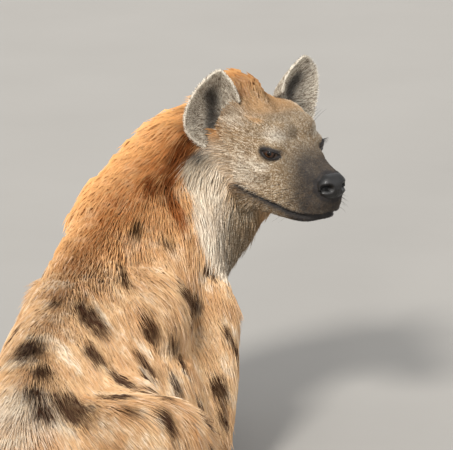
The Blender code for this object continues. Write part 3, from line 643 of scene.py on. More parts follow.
skin = boolean(body, head, "UNION")
ear_trees = {}
for side in (1, -1):
    for name in PAWS:
        boolean(skin, paw_form(name, side), "UNION")
    ear = ear_form(side)
    ear_trees[side] = tree_of(ear.data)
    boolean(skin, ear, "UNION")
boolean(skin, floor_cut(), "DIFFERENCE")
print("skin:", len(skin.data.vertices), "points,", len(skin.data.polygons), "faces")

# %% [markdown]
# ## Folds of the face
#
# Lips, the furrow under the eye and the step over the muzzle are small against the head, so they are made by moving
# points: each fold is a line in the head's axes, and points near it sink while those beside it swell. A sculptor
# would drag them by hand, and a table of lines does the same and can be read again.

# %% Mouth, lips and furrows
# Each fold: its line in forward, right, up, its half width, and how deep it sinks and how far its banks swell.
FOLDS = [
    ([(f, None, u) for f, u in MOUTH], 0.0026, 0.0060, 0.0016),
    ([(0.040, 0.030, 0.006), (0.020, 0.040, -0.018), (-0.004, 0.055, -0.022), (-0.030, 0.066, -0.012)],
     0.0032, 0.0026, 0.0012),
    ([(0.086, 0.026, -0.030), (0.066, 0.034, -0.036), (0.046, 0.037, -0.050), (0.030, 0.040, -0.066)],
     0.0040, 0.0018, 0.0009),
    ([(0.012, 0.024, 0.024), (-0.004, 0.040, 0.025), (-0.022, 0.053, 0.020)], 0.0044, 0.0010, 0.0005),
]


def to_head_axes(points):
    """Places of the body's axes in the head's own: forward, right, up."""
    turn = np.array(head_matrix().to_3x3())
    return (points - np.array(head_matrix().translation)) @ turn


def normals_of(mesh):
    """The outward directions at all points of a mesh."""
    flat = np.empty(len(mesh.vertices) * 3, dtype=np.float32)
    mesh.vertex_normals.foreach_get("vector", flat)
    return flat.reshape(-1, 3).astype(float)


def line_distance(points, line, steps=10):
    """Distance of each point to a smooth line; a line without its middle number is read from the side."""
    columns = [0, 2] if line[0][1] is None else [0, 1, 2]
    rows = smooth_rows([[row[c] for c in columns] for row in line], steps)
    best = np.full(len(points), 9.0)
    for row in rows:
        best = np.minimum(best, np.linalg.norm(points[:, columns] - row, axis=1))
    return best


def fold_face(mesh):
    """Sinks each fold and swells its banks."""
    points, normals = points_of(mesh), normals_of(mesh)
    local = to_head_axes(points)
    near = (local[:, 0] > -0.16) & (np.abs(local[:, 1]) < 0.12) & (np.abs(local[:, 2]) < 0.12)
    part = local[near].copy()
    part[:, 1] = np.abs(part[:, 1])
    push = np.zeros(len(part))
    for line, half, depth, bank in FOLDS:
        away = line_distance(part, line) / half
        push += -depth * np.exp(-away**2) + bank * np.exp(-((away - 2.2) / 1.1) ** 2)
    points[near] += normals[near] * push[:, None]
    mesh.vertices.foreach_set("co", points.astype(np.float32).ravel())
    mesh.update()


fold_face(skin.data)
for side in (1, -1):
    edge = [almond(math.tau * k / 64, side) for k in range(64)]
    rings = [[eye_matrix(side) @ Vector((x, deep, z)) for x, z in edge] for deep in (0.004, 0.034)]
    poles = [eye_matrix(side) @ Vector((0, deep, 0)) for deep in (0.004, 0.034)]
    boolean(skin, loft("almond", rings, poles), "DIFFERENCE")
    boolean(skin, drawn_sphere("socket", eye_matrix(side), [EYE_RADIUS + 0.0003] * 3), "DIFFERENCE")
recess = drawn_sphere("nose_recess", head_matrix() @ Matrix.Translation(NOSE_CENTRE), NOSE_HALF * 0.97)
boolean(skin, recess, "DIFFERENCE")
print("face folded:", len(skin.data.polygons), "faces")

# %% [markdown]
# ## Which way the hair lies
#
# Hair on a living animal points from the nose to the tail and down each limb. The middle lines of the lofts already
# run that way, so every point of the skin takes its direction from the middle lines near it, the nearest counting
# most. Painting the direction by hand with a comb brush is the usual way, but a rule gives the same animal each run.

# %% Middle lines and their hair
# Each part: its middle line, sense along it, sag to the ground, rise, then length, width and stand of its hair.
HAIR = {
    "trunk": (-1, 1.30, 0.00, 0.0400, 0.00112, 0.0060),
    "neck": (-1, 1.00, 0.00, 0.0400, 0.00115, 0.0070),
    "mane": (-1, 0.50, 0.12, 0.0540, 0.00120, 0.0130),
    "upper_leg": (1, 1.30, 0.00, 0.0360, 0.00112, 0.0056),
    "lower_leg": (1, 0.00, 0.00, 0.0150, 0.00135, 0.0040),
    "tail": (1, 0.10, 0.00, 0.0360, 0.00160, 0.0085),
    "brush": (1, 0.12, 0.00, 0.1040, 0.00170, 0.0110),
    "head": (-1, 0.00, 0.00, 0.0120, 0.00110, 0.0032),
}
HEAD_LINE = [(*head_point(f, 0, u), half, half) for f, u, half in
             ((0.085, -0.050, 0.034), (0.030, -0.044, 0.050), (-0.040, -0.024, 0.076), (-0.110, -0.016, 0.084))]
TRUNK_LINE = [(BODY_MIDDLE + 0.3 * (ridge - BODY_MIDDLE), y, (top + max(low, 0)) / 2, half, (top - max(low, 0)) / 2)
              for y, ridge, top, low, half, narrow in TRUNK]


def paw_line(name, side):
    """Middle line of a paw from heel to toes."""
    length, half = PAWS[name][2:]
    place = paw_matrix(name, side)
    return [(*(place @ Vector((0, along * length, 0.016))), half, half) for along in (0.1, 0.5, 0.95)]


lines = [("trunk", TRUNK_LINE), ("neck", NECK), ("mane", MANE), ("tail", TAIL), ("brush", TAIL_BRUSH)]
lines += [("head", HEAD_LINE[::-1])]
for leg, rows in LEGS.items():
    part = "upper_leg" if leg in ("upper_foreleg", "thigh") else "lower_leg"
    lines += [(part, path) for path in both_sides(rows).values()]
lines += [("lower_leg", paw_line(name, side)) for name in PAWS for side in (1, -1)]
print("middle lines:", len(lines))

# %% [markdown]
# Two fields come out of the lines: how much each point belongs to each part, and the direction of its hair. The
# head is different, because there the hair spreads from the nose and turns up over the crown.

# %% Lie, length, width and stand
points, normals = points_of(skin.data), normals_of(skin.data)
local = to_head_axes(points)


def near_line(points, rows):
    """Distance to a middle line as a share of the form's size, and the line's direction there."""
    rows = smooth_rows(rows, 6)
    ahead = np.gradient(rows[:, :3], axis=0)
    ahead /= np.linalg.norm(ahead, axis=1)[:, None]
    best, found = np.full(len(points), 99.0), np.zeros(len(points), int)
    for number, row in enumerate(rows):
        share = np.linalg.norm(points - row[:3], axis=1) / (0.5 * (row[3] + row[4]))
        closer = share < best
        best[closer], found[closer] = share[closer], number
    return best, ahead[found]


def unit(vectors):
    """Vectors of length one."""
    return vectors / np.maximum(np.linalg.norm(vectors, axis=1), 1e-9)[:, None]


shares, aheads = zip(*(near_line(points, rows) for part, rows in lines))
shares = np.array(shares)
weights = np.exp(-7.0 * (shares - shares.min(axis=0)))
weights /= weights.sum(axis=0)
belongs = {part: sum(w for (name, rows), w in zip(lines, weights) if name == part) for part in HAIR}

# Away from the spine on the back, and to the ground on the flank: one slow field, laid along the skin.
spine = np.array(sorted([(y, ridge) for y, ridge, *rest in TRUNK[:7]] + [row[1::-1] for row in MANE[2:]]))
off_spine = np.clip((points[:, 0] - np.interp(points[:, 1], spine[:, 0], spine[:, 1])) / 0.11, -1, 1)
slope = np.stack([0.9 * off_spine, np.zeros(len(points)), -0.25 - 0.75 * np.abs(off_spine)], axis=1)
slope -= normals * np.sum(slope * normals, axis=1)[:, None]
lie = np.zeros_like(points)
sizes = np.zeros((len(points), 3))
for (part, rows), weight, ahead in zip(lines, weights, aheads):
    sense, sag, rise, *hair = HAIR[part]
    way = sense * ahead
    if part == "upper_leg":
        way = 0.25 * way + np.array((0.0, -1.0, 0.0))
    way = way + sag * slope + np.array((0.0, 0.0, rise))
    lie += weight[:, None] * unit(way)
    sizes += weight[:, None] * np.array(hair)

from_nose = unit(local - np.array((0.112, 0.0, -0.030)))
from_nose[:, 2] += 0.25 * np.clip(local[:, 2] / 0.06, 0, 1) - 0.12 * np.clip(-local[:, 2] / 0.06, 0, 1)
turn = np.array(head_matrix().to_3x3())
of_head = belongs["head"][:, None] ** 0.5
lie = lie * (1 - of_head) + unit(from_nose) @ turn.T * of_head
print("hair shared out over", len(points), "points")


def ramp(values, start, end):
    """0 before start, 1 past end, smooth between."""
    t = np.clip((values - start) / (end - start), 0.0, 1.0)
    return t * t * (3 - 2 * t)


# Rump hair hangs, and hair near the floor lies along it.
rump = ramp(-points[:, 1], 0.02, 0.14) * belongs["trunk"]
lie += 0.6 * rump[:, None] * slope
low_down = ramp(-points[:, 2], -0.050, -0.008)
lie[:, 2] *= 1 - 0.9 * low_down
# A slow wander keeps the hair from lying like combed grass.
swirl = np.array([noise.noise_vector(Vector(place) * 13.0) + noise.noise_vector(Vector(place) * 40.0) * 0.5
                  for place in points])
lie += 0.30 * swirl * (1 - 0.6 * belongs["head"])[:, None]
lie -= normals * np.sum(lie * normals, axis=1)[:, None]
lie = unit(lie)
# No hair of the brush stands up.
lie[:, 2] -= (belongs["brush"] > 0.3) * np.maximum(lie[:, 2] - 0.08, 0.0)
clumps = np.array([noise.noise(Vector(place) * 60.0) for place in points])

# Head hair grows from very short on the muzzle to long behind the cheeks, and stands on the crown.
back_share = ramp(-local[:, 0], -0.055, 0.110)
crown = np.exp(-(((local[:, 0] + 0.102) / 0.040) ** 4 + ((local[:, 1] - 0.018) / 0.031) ** 4 + ((local[:, 2] - 0.070) / 0.034) ** 2))
face = np.stack([0.0040 + 0.0135 * back_share**1.4, 0.00086 + 0.00036 * back_share, 0.0009 + 0.0032 * back_share**1.4],
                axis=1)
head_share = belongs["head"][:, None]
sizes = sizes * (1 - head_share) + face * head_share
sizes += crown[:, None] * np.array((0.050, -0.0002, 0.050)) * head_share
throat = ramp(-normals[:, 2], -0.2, 0.7) * belongs["neck"]
sizes[:, 0] += 0.010 * throat
nape = belongs["mane"] * ramp(points[:, 1], 0.46, 0.64) * (1 - 0.7 * belongs["head"])
sizes[:, 2] += 0.007 * nape
sizes[:, 2] *= 1 + 0.5 * clumps
sizes[:, 0] *= 1 - 0.45 * low_down

is_ear = np.zeros(len(points))
for side, tree in ear_trees.items():
    for index in np.nonzero((side * local[:, 1] > 0.026) & (local[:, 2] > -0.01) & (local[:, 0] < -0.05))[0]:
        away = tree.find_nearest(Vector(points[index]), 0.0012)[3]
        is_ear[index] = 1.0 if away is not None else is_ear[index]
mirrored = local.copy()
mirrored[:, 1] = np.abs(mirrored[:, 1])
from_root = unit(mirrored - np.array(EAR_ROOT))
from_root[:, 1] *= np.sign(local[:, 1])
lie = np.where(is_ear[:, None] > 0, unit(from_root @ turn.T), lie)
outward = np.where(local[:, 1] > 0, 1.0, -1.0)
local_normals = normals @ turn
ear_inside = is_ear * ramp(0.88 * local_normals[:, 0] + 0.45 * local_normals[:, 1] * outward, -0.1, 0.3)
rim_distance = np.min([np.linalg.norm(local - place * np.array((1, side, 1)), axis=1)
                       for side, rim in EAR_RIMS.items() for place in smooth_rows(rim, 8)], axis=0)
ear_rim = is_ear * np.exp(-(rim_distance / 0.0026) ** 2)
near_rim = 1 - 0.62 * np.exp(-(rim_distance / 0.009) ** 2)
ear_hair = np.stack([(0.0070 + 0.0034 * ear_inside) * near_rim, np.full(len(points), 0.00085),
                     (0.0014 + 0.0018 * ear_inside) * near_rim], axis=1)
sizes = np.where(is_ear[:, None] > 0, ear_hair, sizes)
# Hair of the neck and crown stays short near the ears, so that none crosses their opening.
ear_points = points[is_ear > 0][::6]
near_ears = np.nonzero((is_ear == 0) & (np.abs(local[:, 1]) > 0.02) & (local[:, 0] > -0.17) & (local[:, 2] > -0.05))[0]
for index in near_ears:
    away = np.sqrt(np.min(np.sum((ear_points - points[index]) ** 2, axis=1)))
    sizes[index, :3] *= np.array((0.30, 0.60, 0.22)) + np.array((0.70, 0.40, 0.78)) * min(away / 0.016, 1.0)
print("ear points:", int(is_ear.sum()))

# %% [markdown]
# ## Markings
#
# Spots, the pale side of the neck, the rufous mane and the dark muzzle are fields on the skin: numbers from 0 to 1 at
# each point. Skin and hair read the same fields, so a bare patch never shows the wrong colour. The spots that the
# photograph shows are listed one by one. The far side has spots of the same kind, scattered from a fixed seed.

# %% Spots and streaks
# Place on the coat, half length along the hair, half width.
SPOTS = [
    ((0.066, 0.226, 0.312), 0.034, 0.028), ((-0.003, 0.063, 0.321), 0.036, 0.028), ((0.083, -0.034, 0.263), 0.032, 0.028),
    ((0.035, 0.007, 0.302), 0.021, 0.017), ((0.031, -0.045, 0.288), 0.020, 0.016), ((0.050, -0.075, 0.267), 0.020, 0.016),
    ((0.085, 0.140, 0.288), 0.023, 0.018), ((0.152, 0.219, 0.223), 0.019, 0.015), ((0.180, 0.312, 0.188), 0.022, 0.017),
    ((0.213, 0.460, 0.136), 0.020, 0.015), ((0.208, 0.012, 0.233), 0.023, 0.019), ((0.133, 0.336, 0.261), 0.020, 0.016),
    ((0.136, 0.020, 0.284), 0.019, 0.016), ((0.007, 0.214, 0.343), 0.015, 0.011), ((0.166, -0.024, 0.266), 0.014, 0.012),
    ((0.080, 0.492, 0.365), 0.013, 0.009), ((0.220, 0.439, 0.097), 0.014, 0.011),
]
# Two ends on the coat and the half width.
STREAKS = [
    ((0.158, 0.463, 0.288), (0.176, 0.515, 0.245), 0.014), ((0.136, 0.257, 0.247), (0.150, 0.260, 0.230), 0.017),
    ((0.162, 0.383, 0.226), (0.176, 0.388, 0.202), 0.019), ((0.212, 0.526, 0.208), (0.226, 0.537, 0.159), 0.009),
    ((0.118, 0.490, 0.352), (0.128, 0.512, 0.338), 0.008), ((0.182, 0.550, 0.290), (0.194, 0.568, 0.272), 0.008),
    ((0.118, 0.150, 0.262), (0.126, 0.136, 0.244), 0.008), ((0.072, 0.406, 0.335), (0.090, 0.381, 0.321), 0.009),
]
NECK_STRIPES = [
    ((0.129, 0.659, 0.454), (0.106, 0.612, 0.426), 0.012), ((0.106, 0.612, 0.426), (0.119, 0.573, 0.398), 0.012),
    ((0.119, 0.573, 0.398), (0.145, 0.547, 0.361), 0.011), ((0.079, 0.592, 0.415), (0.090, 0.571, 0.405), 0.010),
]
across = np.cross(normals, lie)
# A tuft shows most of its colour past its middle, so each mark is read where the tuft will lie.
reached = points + lie * 0.78 * sizes[:, :1] * (1 - is_ear)[:, None]


def spot_field(place, half_length, half_width):
    """1 in the middle of a spot, one half at its edge."""
    offset = reached - np.array(place)
    reach = ((np.sum(offset * lie, axis=1) / half_length) ** 2 + (np.sum(offset * across, axis=1) / half_width) ** 2
             + (np.sum(offset * normals, axis=1) / 0.045) ** 2)
    return np.exp(-0.69 * reach)


def streak_field(start, end, half_width):
    """As a spot, along the line between two ends."""
    start, end = np.array(start), np.array(end)
    run = end - start
    t = np.clip((reached - start) @ run / (run @ run), 0, 1)
    offset = reached - start - t[:, None] * run
    deep = np.sum(offset * normals, axis=1)
    flat = np.linalg.norm(offset - deep[:, None] * normals, axis=1)
    return np.exp(-0.69 * ((flat / half_width) ** 2 + (deep / 0.045) ** 2))


spot = np.zeros(len(points))
lip_taper = 0.0048 + 0.0026 * ramp(local[:, 0], -0.045, 0.030)
for place, half_length, half_width in SPOTS:
    strength = min(1.0, 0.76 + 0.26 * half_width / 0.020)
    spot = np.maximum(spot, strength * spot_field(place, half_length, half_width))
for start, end, half_width in STREAKS:
    spot = np.maximum(spot, 0.80 * streak_field(start, end, half_width))
stripe = np.zeros(len(points))
for start, end, half_width in NECK_STRIPES:
    stripe = np.maximum(stripe, 0.85 * streak_field(start, end, half_width))

# %% Spots of the far side
draw = random.Random(11)
VIEW = np.array((-math.sin(math.radians(8)) * math.cos(math.radians(15)),
                 math.cos(math.radians(8)) * math.cos(math.radians(15)), -math.sin(math.radians(15))))
spotted = belongs["trunk"] + belongs["upper_leg"] + 0.8 * belongs["neck"] + 0.6 * belongs["lower_leg"]
unseen = (normals @ VIEW > -0.22) & (spotted > 0.6) & (points[:, 2] > 0.045) & (normals[:, 2] > -0.5)
unseen &= (belongs["head"] + belongs["mane"] + belongs["tail"] < 0.25) & (points[:, 1] < 0.66)
candidates = list(np.nonzero(unseen)[0])
draw.shuffle(candidates)
taken = [np.array(place) for place, *sizes_ in SPOTS]
for index in candidates:
    here = points[index]
    if len(taken) > 90 or min(np.linalg.norm(here - other) for other in taken) < draw.uniform(0.050, 0.080):
        continue
    taken.append(here)
    size = draw.uniform(0.010, 0.021) * (1.0 if belongs["lower_leg"][index] < 0.5 else 0.65)
    length = size * draw.uniform(1.1, 1.45)
    if here[0] < 0 and here[1] > 0.50 and here[2] > 0.24:
        continue    # it would stand on the outline of the left shoulder, which is plain in the photograph
    spot = np.maximum(spot, spot_field(here, length, size))
print("spots:", len(taken), "and", len(STREAKS), "streaks")

# %% [markdown]
# The face is grey and speckled, with a rufous crown and brow, pale hair over the eye and a muzzle that turns almost
# black towards the nose. Each mark is a soft ball in the head's axes, the same on both sides.

# %% Face, ears, neck and legs
FACE_MARKS = {
    "rufous": [((-0.112, 0.0, 0.080), (0.048, 0.050, 0.042), 1.2), ((-0.056, 0.018, 0.060), (0.034, 0.036, 0.024), 0.48)],
    "cream": [((0.000, 0.034, 0.026), (0.016, 0.014, 0.010), 0.75), ((-0.050, 0.066, -0.034), (0.046, 0.030, 0.030), 0.55),
              ((-0.012, 0.056, -0.020), (0.022, 0.012, 0.009), 0.60), ((-0.066, 0.056, 0.042), (0.026, 0.020, 0.018), 0.45)],
    "dark": [((0.078, 0.0, -0.028), (0.044, 0.042, 0.036), 0.62), ((0.090, 0.0, -0.078), (0.034, 0.045, 0.020), 0.92),
             ((0.045, 0.0, -0.102), (0.080, 0.045, 0.016), 0.86), ((0.044, 0.0, 0.006), (0.036, 0.034, 0.024), 0.62),
             # The first ball below is painted shadow under the front of the brow, above the inner corner of the eye.
             ((0.022, 0.033, 0.014), (0.013, 0.011, 0.012), 0.34), ((-0.030, 0.0, 0.052), (0.060, 0.054, 0.034), 0.36)],
}
marks = {"spot": spot, "stripe": stripe, "grey": belongs["head"] * (1 - 0.5 * ramp(-local[:, 0], 0.07, 0.14))}
for mark, balls in FACE_MARKS.items():
    field = np.zeros(len(points))
    for centre, half, strength in balls:
        away = np.sum(((mirrored - np.array(centre)) / np.array(half)) ** 2, axis=1)
        field = np.maximum(field, strength * np.exp(-0.8 * away))
    marks[mark] = field * ramp(belongs["head"], 0.15, 0.5)
BROW_ARC = [(-0.056, 0.056, 0.054), (-0.030, 0.044, 0.044), (-0.013, 0.026, 0.034), (0.000, 0.006, 0.028)]
marks["rufous"] = np.maximum(marks["rufous"], 0.55 * np.exp(-(line_distance(mirrored, BROW_ARC) / 0.006) ** 2))
lip_distance = line_distance(mirrored, FOLDS[0][0])
lips = (local[:, 0] > -0.048) * (local[:, 2] < -0.035)
marks["dark"] = np.maximum(marks["dark"], np.exp(-(lip_distance / lip_taper) ** 4) * lips)


def round_eye(half_wide, half_high):
    """A field that is 1 on the eye and falls past an oval round it."""
    near = np.zeros(len(points))
    for side in (1, -1):
        turn_in = np.array(eye_matrix(side).inverted())
        placed = points @ turn_in[:3, :3].T + turn_in[:3, 3]
        across_ = placed[:, 0] * side
        up_ = placed[:, 2] + ALMOND["drop"] * across_
        oval = ((across_ - 0.001) / half_wide) ** 2 + ((up_ + 0.001) / half_high) ** 2
        near = np.maximum(near, (placed[:, 1] > 0) * np.exp(-0.69 * oval**2))
    return near


marks["dark"] = np.maximum(marks["dark"], ramp(round_eye(0.0186, 0.0104), 0.25, 0.75))
TEAR_LINE = [(0.0080, 0.0400, 0.0040), (0.0180, 0.0360, 0.0050), (0.0250, 0.0330, 0.0030)]
marks["dark"] = np.maximum(marks["dark"], 0.90 * np.exp(-(line_distance(mirrored, TEAR_LINE) / 0.0054) ** 2))
muzzle = ramp(local[:, 0] + 0.25 * local[:, 2], -0.010, 0.056) * ramp(belongs["head"], 0.15, 0.5)
marks["dark"] = np.maximum(marks["dark"], 0.86 * muzzle)
chin = ramp(local[:, 0], 0.000, 0.050) * ramp(-local[:, 2], 0.070, 0.084)
marks["dark"] = np.maximum(marks["dark"], 0.96 * chin * ramp(belongs["head"], 0.15, 0.5))
nose_ring = np.sum(((mirrored - np.array(NOSE_CENTRE)) / np.array((0.023, 0.032, 0.026))) ** 2, axis=1)
marks["dark"] = np.maximum(marks["dark"], 0.96 * ramp(-nose_ring, -1.25, -0.80))

heights = points[:, 2]
mane_share = belongs["mane"] + 0.45 * belongs["neck"] * ramp(normals[:, 2], 0.1, 0.8)
mane_share *= 0.25 + 0.75 * ramp(points[:, 1], 0.33, 0.58)
marks["rufous"] = np.maximum(marks["rufous"], 0.80 * mane_share * (1 - belongs["head"]))
marks["stripe"] = np.maximum(marks["stripe"], 0.60 * crown * belongs["head"])
# A pale band runs down each side of the neck, with the rufous mane behind it and a grey throat before it, which is
# darkened under the jaw as painted shade.
across_neck = points.copy()
across_neck[:, 0] = np.where(points[:, 0] < 0.075, 0.15 - points[:, 0], points[:, 0])
BAND = [(0.149, 0.646, 0.442), (0.158, 0.624, 0.417), (0.168, 0.606, 0.392), (0.177, 0.592, 0.362), (0.189, 0.595, 0.329),
        (0.201, 0.619, 0.294), (0.206, 0.650, 0.262)]
BEHIND = [(0.121, 0.660, 0.453), (0.122, 0.616, 0.426), (0.130, 0.577, 0.398), (0.147, 0.555, 0.366), (0.164, 0.554, 0.339),
          (0.182, 0.570, 0.307), (0.203, 0.572, 0.271)]
THROAT = [(0.213, 0.646, 0.349), (0.214, 0.652, 0.330), (0.222, 0.670, 0.318), (0.228, 0.690, 0.300)]
to_band, behind = line_distance(across_neck, BAND), line_distance(across_neck, BEHIND)
band = ramp(-to_band / np.maximum(behind, 1e-4), -1.35, -0.75) * ramp(-to_band, -0.075, -0.030)
band *= ramp(belongs["neck"] + belongs["head"] + 0.5 * belongs["trunk"], 0.2, 0.6)
band *= 1 - 0.85 * ramp(-points[:, 0], -0.02, 0.03) * ramp(-points[:, 1], -0.67, -0.61)
marks["rufous"] = marks["rufous"] * (1 - band)
belly_side = belongs["trunk"] * ramp(-heights, -0.150, -0.040) * 0.8
pale_rump = 0.62 * np.exp(-np.sum(((points - np.array((0.010, -0.055, 0.270))) / np.array((0.055, 0.060, 0.050))) ** 2,
                                  axis=1))
belly_side = np.maximum(belly_side, pale_rump)
marks["cream"] = np.maximum(marks["cream"], np.maximum(0.73 * band, belly_side))
# The throat has grey hair, and it is painted darker under the jaw as painted shade.
throat_grey_and_shade = np.exp(-(line_distance(across_neck, THROAT) / 0.050) ** 3) * ramp(belongs["neck"] + belongs["head"], 0.2, 0.6)
# Painted shadow under the lower root of each ear.
shadow_under_ear = 0.80 * np.exp(-np.sum(((mirrored - np.array((-0.094, 0.100, -0.008))) / np.array((0.012, 0.019, 0.009))) ** 2, axis=1))
foot_dark = belongs["lower_leg"] * (0.25 + 0.35 * ramp(-heights, -0.06, -0.01))
# Painted shade in the hollow of each ear, along a line deep in its cup.
EAR_HOLLOW = [(-0.104, 0.080, 0.078), (-0.106, 0.071, 0.058), (-0.106, 0.070, 0.036), (-0.098, 0.074, 0.010)]
ear_hollow_shade = ear_inside * np.exp(-(line_distance(mirrored, EAR_HOLLOW) / 0.0125) ** 3)
marks["dark"] = np.max([marks["dark"], 0.36 * throat_grey_and_shade, foot_dark, belongs["brush"], shadow_under_ear], axis=0)
marks["grey"] = np.max([marks["grey"], 0.55 * belongs["lower_leg"], throat_grey_and_shade, is_ear], axis=0)
marks["cream"] = np.maximum(marks["cream"] * (1 - is_ear) * (1 - 0.6 * throat_grey_and_shade), is_ear * (0.72 + 0.28 * ear_rim))
marks["rufous"] *= 1 - is_ear
marks["dark"] = np.where(is_ear > 0, np.maximum(0.06, 0.84 * ear_hollow_shade) * (1 - ear_rim), marks["dark"])
print("marks:", {mark: round(float(field.mean()), 3) for mark, field in marks.items()})

# %% [markdown]
# ## Shader maths in plain expressions
#
# A material here is a sum of many small terms, and drawing each as a node by hand hides the idea. The class below
# wraps a socket, so that `mask * 0.5 + noise` adds the Math nodes by itself. Any other node comes from one method.

# %% A socket that can be added and multiplied
class Value:
    """One output of a shader tree, with arithmetic."""

    def __init__(self, paint, socket):
        self.paint, self.socket = paint, socket

    def _math(self, operation, first, second=None, third=None):
        inputs = {0: first}
        if second is not None:
            inputs[1] = second
        if third is not None:
            inputs[2] = third
        return self.paint.node("ShaderNodeMath", {"operation": operation}, inputs)

    def __add__(self, other):
        return self._math("ADD", self, other)

    __radd__ = __add__

    def __sub__(self, other):
        return self._math("SUBTRACT", self, other)

    def __rsub__(self, other):
        return self._math("SUBTRACT", other, self)

    def __mul__(self, other):
        return self._math("MULTIPLY", self, other)

    __rmul__ = __mul__

    def __truediv__(self, other):
        return self._math("DIVIDE", self, other)

    def power(self, exponent):
        return self._math("POWER", self, exponent)

    def clipped(self):
        return self._math("MINIMUM", self._math("MAXIMUM", self, 0.0), 1.0)

    def between(self, start, end):
        """0 at start, 1 at end, smooth between."""
        return self.paint.node("ShaderNodeMapRange", {"interpolation_type": "SMOOTHSTEP"},
                               {"Value": self, "From Min": start, "From Max": end})


class Paint:
    """A material with its tree, and the one way to add a node to it."""

    def __init__(self, name, **finish):
        self.material = bpy.data.materials.new(name)
        self.material.use_nodes = True
        self.tree = self.material.node_tree
        self.shader = self.tree.nodes["Principled BSDF"]
        for socket, value in finish.items():
            self.shader.inputs[socket.replace("_", " ")].default_value = value
        self.place = self.node("ShaderNodeTexCoord", {}, {}, out="Object")

    def node(self, kind, settings, inputs, out=0):
        """Adds a node: its settings first, then the values or links of its sockets."""
        made = self.tree.nodes.new(kind)
        for name, value in settings.items():
            if name == "stops":
                ramp_ = made.color_ramp
                while len(ramp_.elements) < len(value):
                    ramp_.elements.new(0.5)
                for element, (position, colour) in zip(ramp_.elements, value):
                    element.position, element.color = position, (*colour, 1.0)
            else:
                setattr(made, name, value)
        for key, value in inputs.items():
            if isinstance(value, Value):
                self.tree.links.new(value.socket, made.inputs[key])
            else:
                made.inputs[key].default_value = value
        return Value(self, made.outputs[out])

    def noise(self, scale, detail=2.0, roughness=0.5, where=None):
        return self.node("ShaderNodeTexNoise", {}, {"Vector": where or self.place, "Scale": scale, "Detail": detail,
                                                    "Roughness": roughness})

    def field(self, name):
        return self.node("ShaderNodeAttribute", {"attribute_type": "GEOMETRY", "attribute_name": name}, {}, out="Fac")

    def mix(self, first, second, share):
        """A colour between two, as far as share."""
        first, second = [(*c, 1.0) if isinstance(c, tuple) else c for c in (first, second)]
        return self.node("ShaderNodeMix", {"data_type": "RGBA"}, {0: share, 6: first, 7: second}, out=2)

    def darker(self, colour, share):
        """A colour times a number from 0 to 1."""
        return self.node("ShaderNodeVectorMath", {"operation": "SCALE"}, {0: colour, "Scale": share})

    def bump(self, height, strength, distance):
        return self.node("ShaderNodeBump", {}, {"Height": height, "Strength": strength, "Distance": distance})

    def into(self, socket, value):
        self.tree.links.new(value.socket, self.shader.inputs[socket])


def tone(hexadecimal):
    """A colour of the eye's scale as the shader's linear numbers."""
    parts = [int(hexadecimal[i : i + 2], 16) / 255 for i in (0, 2, 4)]
    return tuple(c / 12.92 if c <= 0.04045 else ((c + 0.055) / 1.055) ** 2.4 for c in parts)


print("one class for numbers, one for materials")

# %% [markdown]
# ## The colour of the coat
#
# Spotted hyenas are sandy to rufous with soft brown spots. Each tuft is painted darker at its root, as painted shade
# between the tufts, and the bare skin under the coat is painted as dark as the roots. The colours below are mixed in
# the order in which they lie over each other on the animal. `tone` differs from tuft to tuft, which gives the speckle
# of real fur without any picture.

# %% Coat colours
COLOURS = {
    "tan": tone("d0af85"), "ochre": tone("a9794b"), "cream": tone("dbd2c1"), "rufous": tone("d8a163"),
    "grey": tone("947f62"), "spot": tone("341c0c"), "stripe": tone("8a4f24"), "dark": tone("2f2c2b"),
    "fleck": tone("5a4430"),
}


